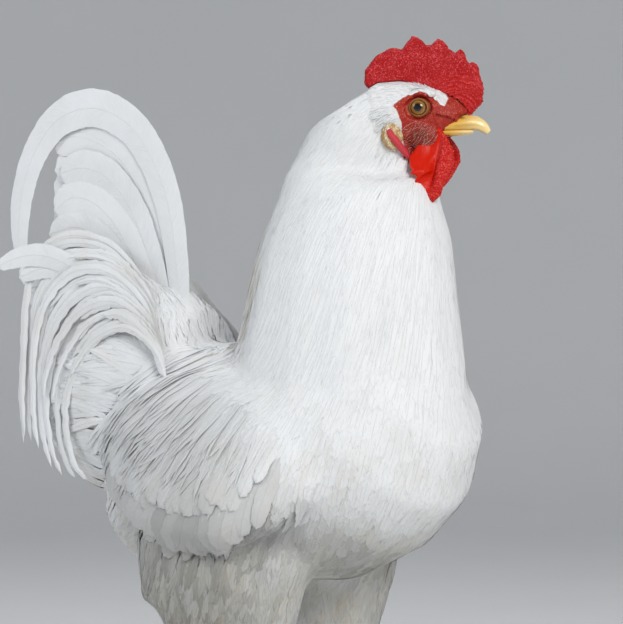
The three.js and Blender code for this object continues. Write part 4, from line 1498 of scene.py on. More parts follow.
@dataclass(frozen=True)
class Tract:
    """One field of feathers. Lengths are millimetres.

    Attributes:
        name: The piece's name.
        nodes: The solids whose part of the outline it covers.
        rule: Which points there belong to it, by place and normal.
        spacing: Least distance between roots.
        length: Length of the feathers.
        half: Their half width.
        vane: Their kind.
        heading: The lie of the coat.
        depth: How far below the outline they are rooted.
        lift: How far above it they end.
        warm: How cream-coloured they are; this cream is partly soiled plumage and partly painted warm shade and
            reflected light.
        wander: How far their directions stray, as a share.
        turn: Least cosine between neighbouring normals before a feather leaves the outline.
        roll: How far feathers are tipped about their shafts.
    """

    name: str
    nodes: tuple[str, ...]
    rule: Rule
    spacing: Measure
    length: Measure
    half: Measure
    vane: Vane
    heading: Rule
    depth: float = 1.8
    lift: float = 1.0
    # cream rising towards the bottom: partly soiled plumage, partly painted warm shade and reflected light from below
    warm: Measure = ramp(2, (0, 0.75), (210, 0.65), (260, 0.3), (320, 0.12), (360, 0.05), (600, 0.0))
    wander: float = 0.10
    turn: float = 0.64
    roll: float = 0.035


WINGS, THIGHS = ("wing_left", "wing_right"), ("thigh_left", "thigh_right")
WING_EDGE = ((62, 246), (40, 230), (10, 219), (-20, 219), (-50, 226), (-85, 243), (-118, 262))


def wing_edge(x: np.ndarray) -> np.ndarray:
    """Height of the folded wing's lower edge at places along the bird."""
    places, heights = zip(*((-ahead, height) for ahead, height in WING_EDGE))
    return np.interp(-x, places, heights)


def above_wing_edge(points: np.ndarray) -> np.ndarray:
    """Height of points over the wing's lower edge."""
    return points[:, 2] - wing_edge(bird_x(points))


def above_floor(points: np.ndarray, normals: np.ndarray) -> np.ndarray:
    """Whether points are above the floor, as all of a bird is."""
    return points[:, 2] > 0


def on_neck(points: np.ndarray, normals: np.ndarray) -> np.ndarray:
    """Whether points belong to the neck's own feathers."""
    q = HEAD.inward(points)
    behind_face = (q[:, 0] < -24) | (q[:, 2] < -30)
    return behind_face & (points[:, 2] > 366 + 0.25 * (bird_x(points) - 60))


SATIN = Vane(columns=2, stations=10, fray=0.14, dome=0.05, thick=0.06, ridge=0.0, sweep=0.5)
BLUNT = Vane(Tip.ROUND, columns=2, stations=9, fray=0.25, dome=0.06, thick=0.06, ridge=0.0, sweep=0.5)
FLUFF = Vane(columns=2, stations=8, fray=0.35, dome=0.06, thick=0.06, ridge=0.0, sweep=0.3)
PLUME = Vane(columns=3, stations=13, fray=0.25, dome=0.14, thick=0.09, ridge=0.06)
TRACTS = (
    Tract(
        "hackle", ("neck", "head", "trunk"), on_neck, ramp(2, (360, 3.1), (430, 2.8), (480, 2.2), (520, 1.9)),
        ramp(2, (350, 62), (400, 52), (450, 40), (480, 24), (500, 14), (530, 9)),
        ramp(2, (350, 3.0), (420, 2.6), (470, 1.9), (500, 1.3)), SATIN, lie_of_body, lift=0.2, wander=0.05,
    ),
    Tract(
        "breast", ("trunk", "neck"), lambda p, n: (p[:, 2] <= 380) & (bird_x(p) > 14) & (n[:, 2] < 0.75),
        ramp(2, (200, 3.4), (380, 3.1)), ramp(2, (200, 28), (380, 44)), ramp(2, (200, 3.6), (380, 3.0)),
        BLUNT, lie_of_body, lift=0.25, wander=0.07,
    ),
    Tract(
        "back", ("trunk",), lambda p, n: (bird_x(p) <= 40) & (n[:, 2] > -0.1), even(3.4),
        ramp(0, (-70, 62), (90, 56)), ramp(0, (-70, 2.6), (90, 3.0)), SATIN, lie_of_body, lift=0.4,
    ),
    Tract(
        "belly", ("trunk", "vent"), lambda p, n: (bird_x(p) <= 24) & (n[:, 2] < 0.2), even(3.2),
        ramp(2, (150, 22), (330, 30)), even(2.6), FLUFF, lie_of_body, lift=0.9, wander=0.22,
    ),
    Tract(
        "thigh_down", THIGHS, lambda p, n: p[:, 2] > 110, ramp(2, (110, 2.4), (200, 3.0)),
        ramp(2, (110, 12), (200, 24)), ramp(2, (110, 1.9), (200, 3.1)), FLUFF, lie_of_thigh,
        depth=1.4, lift=0.5, wander=0.16,
    ),
    Tract(
        "wing_coverts", WINGS,
        lambda p, n: (p[:, 1] * n[:, 1] > -0.3 * np.abs(p[:, 1])) & ((above_wing_edge(p) > 46) | (bird_x(p) > 48)),
        even(3.6), ramp(2, (220, 34), (340, 46)), even(3.2), BLUNT, lie_of_wing, lift=0.5, wander=0.1, turn=0.4,
    ),
    Tract(
        "wing_streaks", WINGS, lambda p, n: (p[:, 1] * n[:, 1] > 0) & (above_wing_edge(p) > 52), even(5.6),
        ramp(2, (260, 40), (340, 62)), even(2.3), PLUME, lie_of_wing, depth=0.8, lift=2.4, wander=0.16, roll=0.2,
    ),
    Tract(
        "saddle", ("trunk", *WINGS),
        lambda p, n: (bird_x(p) <= 5) & (bird_x(p) > -75) & (p[:, 2] > 300) & (n[:, 2] > -0.05), even(5.2),
        ramp(0, (-30, 84), (50, 70)), even(2.3), PLUME, lie_of_saddle,
        depth=0.8, lift=2.4, wander=0.13, roll=0.2, turn=0.25,
    ),
    Tract(
        "tail_mound", ("tail_coverts",), above_floor, even(3.6), ramp(0, (-180, 44), (-50, 56)), even(3.4),
        SATIN, lie_of_tail, lift=0.9, wander=0.14,
    ),
    Tract(
        "mound_plumes", ("tail_coverts",), lambda p, n: (p[:, 2] > 300) & (bird_x(p) < -84), even(6.0),
        ramp(0, (-180, 46), (-50, 58)), even(3.3), PLUME, lie_of_tail, depth=0.8, lift=2.2, wander=0.2, roll=0.1,
    ),
    Tract(
        "cushion", ("tail_coverts", "trunk"),
        lambda p, n: (bird_x(p) < -30) & (bird_x(p) > -100) & (p[:, 2] > 338) & (n[:, 2] > -0.2) & (n[:, 0] > -0.3),
        even(2.9), ramp(0, (-60, 26), (10, 22)), even(2.0), FLUFF, lie_of_cushion,
        depth=0.4, lift=1.5, wander=0.2, roll=0.08,
    ),
    Tract(
        "nape_streaks", ("neck",), lambda p, n: (n[:, 0] < -0.45) & (p[:, 2] > 368) & (p[:, 2] < 505), even(5.0),
        ramp(2, (360, 60), (480, 34)), ramp(2, (360, 1.3), (500, 0.8)), SATIN, lie_of_body,
        # their cream is partly the nape's own streaks and partly painted warm shade there
        depth=0.5, lift=0.7, wander=0.07, warm=ramp(2, (360, 1.2), (470, 0.5)),
    ),
)


def chosen(name: str, *measures: object, **settings: object) -> Tract:
    """A field of feathers whose roots are given, so that it has neither solids nor a rule."""
    return Tract(name, (), above_floor, *measures, **settings)


@dataclass
class Plumage:
    """Lays the coat's tracts on the body and the head.

    Attributes:
        body: The outline that most feathers follow.
        skin: The skin, which those of the head follow.
        coat: What makes the vanes.
        face: Where the head is bare.
        lengths: Least and greatest length of a feather, as shares of its tract's.
        halves: Least and greatest width, likewise.
        warms: Least and greatest warmth, likewise.
        gauge: Half the thickness of the head's feathers.
        reach: How far from the head's middle its own feathers grow.
    """

    body: Body
    skin: Surface
    coat: Coat
    face: Face
    lengths: Flat = (0.85, 1.15)
    halves: Flat = (0.85, 1.12)
    warms: Flat = (0.3, 1.6)
    gauge: float = 0.07
    reach: float = 55

    def lay(self, tract: Tract) -> list[bpy.types.Object]:
        """Scatters a tract's roots, traces its feathers and makes its pieces, one a side."""
        ground = self.body.surface
        roots = ground.sample(self.body.faces(tract.nodes, tract.rule), tract.spacing, self.coat.rng)
        return self.dress(tract, ground, roots)

    def dress(self, tract: Tract, ground: Surface, roots: np.ndarray, hairs: bool = False) -> list[bpy.types.Object]:
        """Makes the feathers that grow from some roots.

        Args:
            tract: What they are like.
            ground: The surface that they follow.
            roots: Where they grow.
            hairs: Whether they may end on the bare face.

        Returns:
            The pieces, one a side.
        """
        rng, stations = self.coat.rng, tract.vane.stations
        lengths = tract.length(roots) * rng.uniform(*self.lengths, len(roots))
        sway = rng.normal(0, tract.wander, len(roots))
        paths, normals = ground.follow(roots, tract.heading, lengths, stations, turn=tract.turn, sway=sway)
        share = np.linspace(0, 1, stations)
        height = -tract.depth * (1 - np.minimum(share / 0.24, 1)) ** 1.2 + tract.lift * share**2
        jitter = rng.uniform(-1, 1, (len(roots), 1)) * (0.07 + tract.lift * 0.25)
        paths = paths + normals * (height[None] + jitter * share[None])[..., None]
        half = tract.half(roots) * rng.uniform(*self.halves, len(roots))
        warm = tract.warm(roots) * rng.uniform(*self.warms, len(roots))
        ends = HEAD.inward(paths[:, [-1, stations // 2]].reshape(-1, 3))
        bald = (inside_distance(self.face.bare_outline, ends[:, [0, 2]]) > 1.0) & (np.linalg.norm(ends, axis=1) < 48)
        clear = hairs | ~bald.reshape(-1, 2).any(1)
        pieces = []
        for word, side in SIDES.items():
            mine = (roots[:, 1] * side >= 0) & clear
            if mine.any():
                parts = (part[mine] for part in (paths, normals, half))
                pieces.append(self.coat.grow(f"{tract.name}_{word}", *parts, tract.vane, warm[mine], tract.roll))
        return pieces

    def head(self) -> list[bpy.types.Object]:
        """The smallest feathers: crown, ear tufts, throat and the hairs on the bare cheeks."""
        s = self.skin
        mine = np.flatnonzero(np.linalg.norm(HEAD.inward(s.middles), axis=1) < self.reach)
        q = HEAD.inward(s.middles)[mine]
        x, z, aside = q[:, 0], q[:, 2], np.abs(q[:, 1])
        edge, ear = (inside_distance(o, q[:, [0, 2]]) for o in (self.face.bare_outline, self.face.ear_outline))
        under_comb = (aside < 3.2) & (z > 6)
        lobe = ((((x + 17) / 5.7) ** 2 + ((z + 18.5) / 7.7) ** 2) < 1) & (aside > 9)
        mirrored = np.stack([x, aside, z], 1)
        path = spline(self.face.fold_path, 24)[4:]
        fold = np.min([np.linalg.norm(mirrored - p, axis=1) for p in path], axis=0) < 3.3
        behind_wattle = (x > -9) & (z < -33) & (aside > 5)
        plain = (edge < 0.3) & (x > -32) & (z > -42) & (x < 19) & ~(under_comb | lobe | fold | behind_wattle)
        brow = (x > 0) & (x < 13) & (edge < -0.3) & (z > 7) & ~under_comb
        cheek = (edge > 0.6) & (((x - 1) / 13) ** 2 + ((z + 18) / 10) ** 2 < 1) & (aside > 5)
        downy = Vane(columns=2, stations=7, dome=0.05, thick=self.gauge, ridge=0.0, fray=0.3)
        hair = Vane(Tip.STRAND, columns=2, stations=6, dome=0.0, thick=self.gauge, ridge=0.0, fray=0.0, sweep=0)
        spacing, half = ramp(2, (440, 2.1), (480, 1.7), (540, 1.6)), ramp(2, (440, 1.3), (500, 0.85), (540, 0.85))
        length = ramp(2, (440, 13), (480, 8.5), (510, 6.5), (540, 7.5))
        fields = (
            (chosen("head_feathers", spacing, length, half, downy, lie_of_head, depth=0.15, lift=0.4, wander=0.16),
             plain, False),
            (chosen("ear_tufts", even(1.3), even(9), even(0.5), downy, lie_of_head, depth=0.3, lift=1.7, wander=0.25),
             (ear > 0) & (aside > 8), False),
            (chosen("brow_wisps", even(1.5), even(9), even(0.55), downy, lie_of_brow, depth=0.3, lift=1.5, wander=0.3),
             brow, True),
            (chosen("cheek_hairs", even(1.75), even(4.6), even(0.06), hair, lie_of_head, depth=0.2, lift=0.5,
                    wander=0.3, warm=even(1.0)), cheek, True),
        )
        pieces = []
        for tract, here, hairs in fields:
            roots = s.sample(mine[here], tract.spacing, self.coat.rng)
            pieces += self.dress(tract, s, roots, hairs)
        return pieces


@dataclass
class WingQuills:
    """The rows of large feathers on a folded wing, from its lower edge upwards.

    Attributes:
        plumage: What knows the outline and makes the vanes.
        edge: How far aside of the middle the quills are looked for.
        tufts: Roots of the tufts at the wing's front corner, ahead and up.
    """

    plumage: Plumage
    edge: float = 95.0
    tufts: tuple[Flat, ...] = ((88, 254), (92, 259), (97, 256), (84, 250))

    def row(
        self, name: str, count: int, length: float, half: float, above: float, vane: Vane, spread: Flat, lift: float
    ) -> list[bpy.types.Object]:
        """Lays one row on each wing.

        Args:
            name: The pieces' name.
            count: Feathers on each wing.
            length: Their length.
            half: Their half width.
            above: How far above the wing's edge they end.
            vane: Their kind.
            spread: Where the row starts and ends along the bird.
            lift: Height of their tips over the outline.

        Returns:
            The pieces.
        """
        ground, coat = self.plumage.body.surface, self.plumage.coat
        rng = coat.rng
        xs = np.linspace(*spread, count) + rng.uniform(-1.6, 1.6, count)
        zs = wing_edge(xs) + above + rng.uniform(-0.16, 0.16, count) * above
        share, rank = np.linspace(0, 1, vane.stations), np.linspace(0, 1, count)
        pieces = []
        for word, side in SIDES.items():
            tips = np.stack([xs + SHIFT, np.full(count, side * self.edge), zs], 1)
            back = unit(lie_of_wing(tips, tips))
            lengths = length * (1 - 0.18 * np.linspace(-0.3, 1, count) ** 2) * rng.uniform(0.96, 1.04, count)
            roots, _, _ = ground.nearest(tips - back * lengths[:, None])
            paths, normals = ground.follow(
                roots, lie_of_wing, lengths, vane.stations, stiffness=0.7, turn=0.8, shrink=0.95
            )
            layer = np.linspace(0.9, 0, count) + rng.uniform(-0.5, 0.5, count)
            height = -2.6 * (1 - share)[None] ** 1.5 + (lift * share[None] ** 2 + layer[:, None] * share[None])
            paths = paths + normals * height[..., None]
            size = half * np.interp(rank, (0, 0.25, 1), (0.6, 1, 1)) * rng.uniform(0.9, 1.08, count)
            pieces.append(coat.grow(f"{name}_{word}", paths, normals, size, vane, 0.3, 0.05, side * 0.03))
        return pieces

    def build(self) -> list[bpy.types.Object]:
        """Primaries, secondaries, greater coverts and the tufts at the wing's front corner."""
        broad = Vane(Tip.ROUND, 10, 30, dome=0.9, thick=0.25, fray=0.08, sweep=0.3, ridge=0.12, crowd=1.7)
        small = Vane(Tip.ROUND, 7, 20, dome=0.75, thick=0.2, fray=0.14, sweep=0.3, ridge=0.1, crowd=1.6)
        pieces = self.row("primaries", 5, 105, 8.5, 4, broad, (-30, -112), 1.6)
        pieces += self.row("secondaries", 15, 84, 10.5, 8, broad, (56, -106), 3.6)
        pieces += self.row("greater_coverts", 19, 54, 7.5, 30, small, (58, -106), 2.4)
        tuft = chosen(
            "wing_corner", even(4), even(30), even(3.2), PLUME, lie_of_thigh,
            depth=0.3, lift=5.0, wander=0.16, roll=0.25, turn=0.2,
        )
        roots = np.array([(x + SHIFT, side * 86.0, z) for side in SIDES.values() for x, z in self.tufts])
        return pieces + self.plumage.dress(tuft, self.plumage.body.surface, roots)


@dataclass
class Tail:
    """Main tail feathers, sickles and the drooping feathers beside them, both sides.

    Attributes:
        coat: What makes the vanes.
        fan: The main feathers' paths, ahead and up.
        fan_halves: Their half widths.
        main: The longest sickle's path, ahead, aside and up, in the bird's own frame like those below.
        second: The shorter sickles' paths.
        low: The lowest sickle's path.
        hanging: Guides of the drooping coverts, from the outermost arch inwards.
        strands: Where the long drooping coverts lie between those guides.
    """

    coat: Coat
    fan: tuple[tuple[Flat, ...], ...] = (
        ((-106, 340), (-100, 388), (-103, 425), (-111, 455), (-125, 481), (-146, 500), (-171, 512), (-190, 516),
         (-205, 512)),
        ((-108, 340), (-107, 387), (-114, 424), (-125, 454), (-141, 477), (-163, 491), (-188, 498), (-211, 494)),
        ((-110, 340), (-115, 385), (-125, 421), (-139, 449), (-157, 468), (-182, 479), (-208, 475)),
        ((-111, 340), (-123, 382), (-137, 417), (-154, 441), (-174, 456), (-192, 461), (-208, 455)),
        ((-112, 340), (-131, 377), (-149, 407), (-167, 428), (-187, 440), (-209, 437)),
        ((-114, 338), (-138, 371), (-159, 396), (-179, 411), (-205, 418)),
        ((-116, 336), (-144, 362), (-171, 383), (-197, 397), (-222, 404), (-244, 402)),
        ((-118, 332), (-150, 353), (-180, 369), (-208, 381), (-235, 388)),
    )
    fan_halves: tuple[float, ...] = (14, 15, 15.5, 15.5, 15, 14.5, 13.5, 11.5)
    main: tuple[Point, ...] = (
        (-94, 7.5, 340), (-88, 7.5, 381), (-91, 7.5, 416), (-98, 7.5, 448), (-112, 7.5, 478), (-134, 7.5, 503),
        (-168, 8, 517), (-203, 9, 511), (-226, 10, 489), (-238, 11, 462), (-241, 12, 436), (-238, 13, 410),
    )
    second: tuple[tuple[Point, ...], ...] = (
        ((-98, 9, 340), (-105, 9, 384), (-118, 9.5, 420), (-135, 9.5, 449), (-155, 10, 468), (-177, 10.5, 475),
         (-199, 11, 472)),
        ((-102, 10.5, 340), (-112, 10.5, 380), (-129, 11, 413), (-149, 11, 438), (-168, 11.5, 451),
         (-187, 12, 454), (-204, 12, 446)),
        ((-106, 12, 340), (-119, 12, 376), (-138, 12.5, 404), (-158, 13, 423), (-180, 13, 433), (-207, 14, 429)),
    )
    low: tuple[Point, ...] = (
        (-112, 26, 352), (-142, 27, 386), (-172, 28, 405), (-199, 30, 413), (-220, 32, 412), (-240, 34, 406),
    )
    hanging: tuple[tuple[Point, ...], ...] = (
        ((-88, 30, 356), (-103, 22, 388), (-142, 20, 420), (-187, 22, 425), (-211, 24, 409), (-220, 25, 382),
         (-221, 27, 346), (-222, 28, 310), (-219, 28, 277)),
        ((-78, 38, 340), (-90, 34, 368), (-128, 34, 392), (-158, 33, 388), (-184, 32, 367), (-197, 31, 339),
         (-199, 31, 311), (-194, 32, 283), (-184, 33, 259)),
        ((-66, 42, 328), (-74, 42, 347), (-101, 42, 364), (-131, 41, 357), (-153, 40, 336), (-166, 39, 312),
         (-167, 38, 284), (-157, 38, 263), (-140, 39, 254)),
        ((-58, 44, 314), (-66, 46, 327), (-88, 46, 339), (-109, 45, 330), (-126, 44, 313), (-132, 43, 292),
         (-130, 42, 275), (-118, 42, 265)),
    )
    strands: tuple[float, ...] = (0, 0.12, 0.42, 0.7, 0.95, 1.1, 1.4, 1.75, 1.95)

    def feather(
        self, name: str, paths: Sequence[np.ndarray], half: Sequence[float], side: int, vane: Vane,
        warm: float, bank: float = 0.0,
    ) -> bpy.types.Object:
        """Makes feathers that stand on edge, their faces to the side.

        Args:
            name: The piece's name.
            paths: Each one's points from root to tip.
            half: Their half widths.
            side: 1 on the left, -1 on the right.
            vane: Their kind.
            warm: How cream-coloured they are.
            bank: How far they are tipped about their shafts.

        Returns:
            The piece.
        """
        stack = np.stack([spline(p, vane.stations) for p in paths])
        normals = np.broadcast_to([0.0, float(side), 0.0], stack.shape)
        return self.coat.grow(name, stack, normals, np.asarray(half, float), vane, warm, 0.02, bank)

    @staticmethod
    def arcs(points: Sequence[Point], side: int, shrinks: Sequence[float], inward: float) -> list[np.ndarray]:
        """Nested copies of one feather's path, each smaller and nearer the middle than the last, in the row frame."""
        p = np.array(points, float)
        made = []
        for i, shrink in enumerate(shrinks):
            q = p[0] + (p - p[0]) * shrink
            q[:, 1] -= inward * i * np.linspace(0.3, 1, len(q))
            made.append(q * [1, side, 1] + [SHIFT, 0, 0])
        return made

    def build(self) -> dict[str, bpy.types.Object]:
        """Builds every long tail feather, by the name of the solid it stands for."""
        made = {}
        broad = Vane(Tip.ROUND, 12, 64, dome=0.2, thick=0.3, fray=0.05, sweep=0.3, ridge=0.08, crowd=1.4)
        sickle = Vane(Tip.SICKLE, 10, 100, dome=0.2, thick=0.35, fray=0.04, sweep=0.3, ridge=0.08)
        for word, side in SIDES.items():
            near = word == "right"
            back = np.array([0 if near else -9, 0, 0])
            fan = []
            for i, flat in enumerate(self.fan):
                line = spline([(x, z, 0) for x, z in flat], 30)
                fan.append(np.stack([line[:, 0] + SHIFT, np.full(30, side * (6.3 + 0.3 * i)), line[:, 1]], 1) + back)
            main = np.array(self.main) if near else (np.array(self.main) * [0.84, 1, 0.98] + [-29, 0, 5])[:9]
            long = self.arcs(main, side, (1,), 0)
            second = [np.array(a) * [1, side, 1] + [SHIFT, 0, 0] + back for a in self.second]
            low = [a + back for a in self.arcs(self.low, side, (1, 0.85), 2)]
            for node, name, paths, half, vane, warm, bank in (
                ("tail_fan", "main_tail", fan, self.fan_halves, broad, 0.10, -side * 0.06),
                ("sickle_main", "sickle_main_feathers", long, [14], sickle, 0.05, -side * 0.05),
                ("sickle_second", "sickle_second_feathers", second, [13, 13, 12], broad, 0.1, -side * 0.06),
                ("sickle_low", "sickle_low_feathers", low, [8.5, 8], sickle, 0.12, 0.0),
            ):
                made[f"{node}_{word}"] = self.feather(f"{name}_{word}", paths, half, side, vane, warm, bank)
            made[f"hanging_{word}"] = self.drooping(word, side)
        return made

    def drooping(self, word: str, side: int, count: int = 40) -> bpy.types.Object:
        """The curved feathers that rise over the tail's root and droop beside it."""
        rng, long, steps = self.coat.rng, len(self.strands), 40
        guides = np.stack([spline(h, steps) for h in self.hanging])
        paths = []
        for k, place in enumerate(np.concatenate([self.strands, rng.uniform(0, 2.1, count - long)])):
            i, part = int(place), place % 1
            path = guides[i] * (1 - part) + guides[i + 1] * part
            end = int(steps * (rng.uniform(0.93, 1.0) if k < long else rng.uniform(0.3, 0.75)))
            sway = rng.uniform(-1, 1, 2)[None] * np.linspace(0, 7, end)[:, None]
            shift = np.stack([sway[:, 0], 0.25 * sway[:, 1] + rng.uniform(-1.5, 3.5), 0.3 * sway[:, 1]], 1)
            paths.append((path[:end] + shift) * [1, side, 1] + [SHIFT, 0, 0])
        slim = Vane(Tip.SICKLE, 4, 40, dome=0.3, thick=0.2, fray=0.3, sweep=0.3, ridge=0.08)
        half = np.where(np.arange(count) < long, rng.uniform(3.4, 5.0, count), rng.uniform(2.2, 4.2, count))
        return self.feather(f"drooping_coverts_{word}", paths, half, side, slim, 0.2, -side * 0.05)


# ---------------------------------------------------------------- legs


@dataclass
class Leg:
    """One shank with its toes, covered in scales, and its claws and spur.

    Attributes:
        word: Its side.
        hock: The shank's upper end, in the bird's own frame.
        foot: The joint of the toes.
        toes: Each one's name, angle, length and radius.
        voxel: The fineness of its surface.
        shank_row: Height of a row of plates on the shank.
        toe_row: Length of a plate on a toe.
        claw: Length and root radius of a claw.
        spur: Length and root radius of the spur.
        spur_place: Where on the shank the spur is, as a share from the hock down.
    """

    word: str
    hock: Point = (-32, 45, 108)
    foot: Point = (-1, 46, 11)
    toes: tuple[tuple[str, float, float, float], ...] = (
        ("middle", 0, 66, 5.8), ("inner", -38, 50, 5.3), ("outer", 34, 54, 5.3), ("hind", 197, 33, 4.6),
    )
    voxel: float = 0.8
    shank_row: float = 4.7
    toe_row: float = 3.1
    claw: Flat = (15, 3.1)
    spur: Flat = (16.5, 4.3)
    spur_place: float = 0.62

    def nodes(self) -> list[str]:
        """The solids of shank and toes."""
        return [f"shank_{self.word}", *(f"toe_{self.word}_{toe[0]}" for toe in self.toes)]

    def ends(self) -> tuple[np.ndarray, np.ndarray]:
        """The hock and the foot's joint."""
        place = np.array([1, SIDES[self.word], 1])
        return np.array(self.hock) * place + [SHIFT, 0, 0], np.array(self.foot) * place + [SHIFT, 0, 0]

    def toe_heading(self, angle: float) -> np.ndarray:
        """A toe's level direction."""
        turn = math.radians(SIDES[self.word] * (8 + angle))
        return np.array([math.cos(turn), math.sin(turn), 0])

    def build(self) -> bpy.types.Object:
        """Rounds the solids of shank and toes into one and raises scutes, grains and pads."""
        leg = refined(f"leg_{self.word}", self.nodes(), self.voxel, 7)
        p, n = corners(leg), corner_normals(leg)
        hock, foot = self.ends()
        axis = unit(foot - hock)
        grain = grains(p, 2.1, 4)
        t = (p - hock) @ axis
        off = p - hock - t[:, None] * axis
        ahead = unit(np.array([1, 0, 0]) - axis * axis[0])
        turn = np.arctan2(off @ np.cross(axis, ahead), off @ ahead)
        row = t / self.shank_row + 0.5 * (turn > 0)
        scute = self.scute(row, np.abs(turn), 1.25)
        best = np.linalg.norm(off, axis=1) / 7.5 + 2 * (t > np.linalg.norm(foot - hock) - 2)
        front = smoothstep(1.45, 1.15, np.abs(turn))
        plate = scute * front + (grain - 0.2) * 0.6 * (1 - front)
        height = 0.42 * plate
        for _, angle, length, radius in self.toes:
            way = self.toe_heading(angle)
            t = (p - foot) @ way
            off = p - foot - t[:, None] * way
            off[:, 2] = p[:, 2] - radius * 0.8
            closeness = np.linalg.norm(off, axis=1) / radius + 0.25 * (t < 6) + 3 * (t < -1)
            upward = unit(off)[:, 2]
            scute = self.scute(t / self.toe_row, np.arccos(np.clip(upward, -1, 1)), 1.0)
            top = smoothstep(0.15, 0.45, upward)
            pads = 0.5 + 0.5 * np.cos(t / length * 2 * math.pi * 2.6)
            shape = scute * top + (grain - 0.2) * 0.6 * (1 - top)
            rise = 0.34 * shape + (0.9 * pads - 0.3) * smoothstep(0.1, -0.6, upward)
            mine = closeness < best
            best = np.where(mine, closeness, best)
            height, plate = np.where(mine, rise, height), np.where(mine, shape, plate)
        p = p + n * (height - 0.12)[:, None]
        p[:, 2] = np.maximum(p[:, 2], 0)
        place_corners(leg, p)
        store(leg, plate=np.clip(plate, 0, 1))
        return leg

    @staticmethod
    def scute(row: np.ndarray, turn: np.ndarray, reach: float) -> np.ndarray:
        """A plate's height: rounded across and along, dropping steeply at its lower edge."""
        share = row - np.floor(row)
        along = smoothstep(0, 0.16, share) * smoothstep(1.0, 0.8, share) * (0.75 + 0.25 * share)
        return along * smoothstep(0.02, 0.14, turn) * smoothstep(reach + 0.3, reach, turn)

    def horn(self) -> list[tuple[bpy.types.Object, list[str]]]:
        """The claws of the four toes, and the spur."""
        made = []
        hock, foot = self.ends()
        for name, angle, length, radius in self.toes:
            way = self.toe_heading(angle)
            tip = foot * [1, 1, 0] + way * length + [0, 0, radius * 0.62 * 0.86]
            bend = ((-0.35, 0.7, 0.82), (0.1, 1.3, 0.84), (0.6, 0.5, 0.52), (1.0, -1.2, 0.16))
            size, root = self.claw
            knots = [(*(tip + way * share * size + [0, 0, rise]), root * thin) for share, rise, thin in bend]
            s = spline(knots, 26)
            claw = tube(f"nail_{self.word}_{name}", s[:, :3], s[:, 3], s[:, 3] * 1.15, np.cross([0, 0, 1], way), 20)
            p = corners(claw)
            p[:, 2] = np.maximum(p[:, 2], 0.02)
            place_corners(claw, p)
            made.append((claw, [f"claw_{self.word}_{name}"]))
        start = hock + (foot - hock) * self.spur_place
        aim = unit(np.array([-0.72, -SIDES[self.word] * 0.62, 0.14]))
        thins = enumerate((1.05, 0.85, 0.58, 0.2))
        size, root = self.spur
        knots = [(*(start + aim * (2.5 + i / 3 * size) + [0, 0, 0.22 * i * i]), root * thin) for i, thin in thins]
        s = spline(knots, 30)
        made.append((tube(f"spur_horn_{self.word}", s[:, :3], s[:, 3], s[:, 3], [0, 0, 1], 24), [f"spur_{self.word}"]))
        for obj, _ in made:
            share = np.linspace(0, 1, len(obj.data.vertices))
            store(obj, along=share, dark=np.clip(0.25 - share, 0, 1))
        return made


# ---------------------------------------------------------------- studio and camera


@dataclass
class Studio:
    """A pale bowl of floor and wall under soft lights.

    Attributes:
        bowl: The floor's profile from its middle out: radius and height in metres.
        sides: How many sides it has.
    """

    bowl: tuple[Flat, ...] = (
        (0.6, 0), (1.4, 0), (2.2, 0), (2.6, 0), (2.85, 0.03), (3.05, 0.1), (3.2, 0.22), (3.32, 0.42), (3.38, 0.75),
        (3.4, 1.3), (3.4, 3.0),
    )
    sides: int = 96

    def floor(self) -> bpy.types.Object:
        """A round floor that curves up into a wall."""
        n = self.sides
        turn = np.arange(n) / n * 2 * math.pi
        rings = [np.stack([np.cos(turn) * r, np.sin(turn) * r, np.full(n, h)], 1) for r, h in self.bowl]
        points = np.vstack([*rings, [[0, 0, 0]]]) / MM
        middle = np.roll(cap(0, n, len(points) - 1), 1, axis=1)
        return from_arrays("studio_floor", points, ring_quads(len(rings), n), middle)

    @staticmethod
    def light(name: str, place: Point, size: float, power: float, colour: Colour) -> None:
        """One square lamp that faces the bird."""
        bpy.ops.object.light_add(type="AREA", location=place)
        lamp = bpy.context.object
        lamp.name = name
        lamp.data.size, lamp.data.energy, lamp.data.color = size, power, colour
        lamp.rotation_euler = (Vector(TARGET) - Vector(place)).to_track_quat("-Z", "Y").to_euler()

    def build(self) -> None:
        """Sets the floor, lamps and the air's light."""
        floor = self.floor()
        floor.data.materials.append(StudioFinish().make())
        for lamp in LAMPS:
            self.light(*lamp)
        world = bpy.data.worlds.new("air")
        world.use_nodes = True
        air = world.node_tree.nodes["Background"].inputs
        air["Color"].default_value, air["Strength"].default_value = AIR_COLOUR, AIR_STRENGTH
        bpy.context.scene.world = world
        bpy.context.scene.view_settings.view_transform = "Standard"


def set_camera() -> None:
    """Places the camera level with the bird's middle, off its right front."""
    turn = math.radians(CAMERA_AZIMUTH)
    place = Vector(TARGET) + Vector((math.sin(turn), -math.cos(turn), 0)) * CAMERA_AWAY
    bpy.ops.object.camera_add(location=place, rotation=(math.pi / 2, 0, turn))
    camera = bpy.context.object
    camera.name = "camera"
    camera.data.lens, camera.data.sensor_width = CAMERA_LENS, SENSOR
    bpy.context.scene.camera = camera


# ---------------------------------------------------------------- assembly


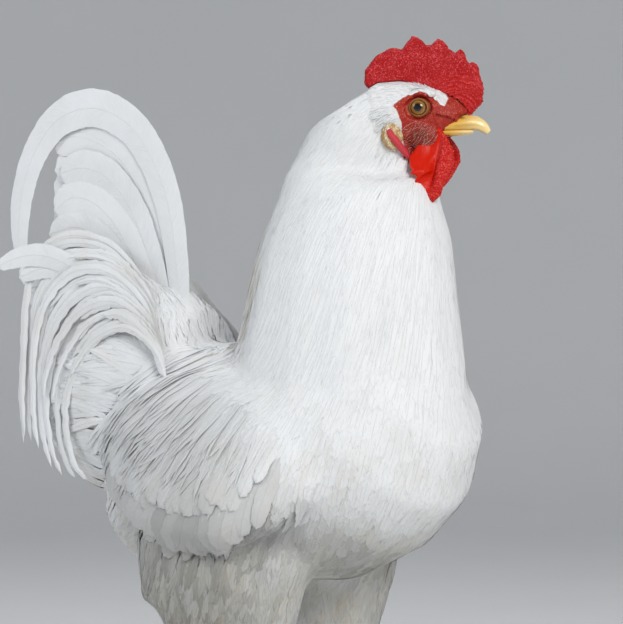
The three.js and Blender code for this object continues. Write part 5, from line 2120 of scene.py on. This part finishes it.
def settle(obj: bpy.types.Object, material: bpy.types.Material, nodes: Sequence[str] = ()) -> None:
    """Gives a piece its material and body, hides the solids it stands for, and logs it."""
    obj.data.materials.clear()
    obj.data.materials.append(material)
    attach(obj, "root")
    if nodes:
        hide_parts(*nodes)
    LOG.info("%s: %d faces", obj.name, len(obj.data.polygons))


def main() -> None:
    """Builds every piece in order."""
    logging.basicConfig(level=logging.INFO, format="%(name)s %(message)s")
    set_camera()
    Studio().build()
    body, face = Body(), Face()
    skin = Skin(body, face).build(face.build())
    settle(skin, SkinFinish().make(), FLESH)
    coat = Coat(Unwrap(skin), np.random.default_rng(SEED))
    plumage = Plumage(body, Surface(skin), coat, face)
    white = PlumageFinish().make()
    for tract in TRACTS:
        for piece in plumage.lay(tract):
            settle(piece, white)
    for piece in plumage.head() + WingQuills(plumage).build():
        settle(piece, white)
    for node, piece in Tail(coat).build().items():
        settle(piece, white, [node] if "tail_" in node or "sickle_" in node else [])
    red = CombFinish("comb_flesh", (0.40, 0.003, 0.005), (0.80, 0.10, 0.11), 0.5, 0.38).make()
    settle(Comb().build(), red, ["comb"])
    pink = CombFinish("wattle_flesh", (0.50, 0.006, 0.004), (0.78, 0.10, 0.08), 0.3, 0.36).make()
    lobe, iris = LobeFinish().make(), EyeFinish().make()
    scales = ScaleFinish().make()
    nail = HornFinish("claw_horn", (0.62, 0.45, 0.20), (0.80, 0.70, 0.48)).make()
    bill = HornFinish("beak_horn", (0.80, 0.46, 0.06), (0.86, 0.66, 0.30)).make()
    for word in SIDES:
        settle(Wattle(word).build(), pink, [f"wattle_{word}"])
        settle(Earlobe(word).build(), lobe, [f"earlobe_{word}"])
        settle(Eye(word).build(), iris, [f"eye_{word}"])
        leg = Leg(word)
        settle(leg.build(), scales, leg.nodes())
        for obj, nodes in leg.horn():
            settle(obj, nail, nodes)
    for obj, node in zip(Beak().build(), ("beak_upper", "beak_lower")):
        settle(obj, bill, [node])
    bpy.data.objects.remove(body.outline)
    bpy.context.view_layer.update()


if __name__ == "__main__":
    main()
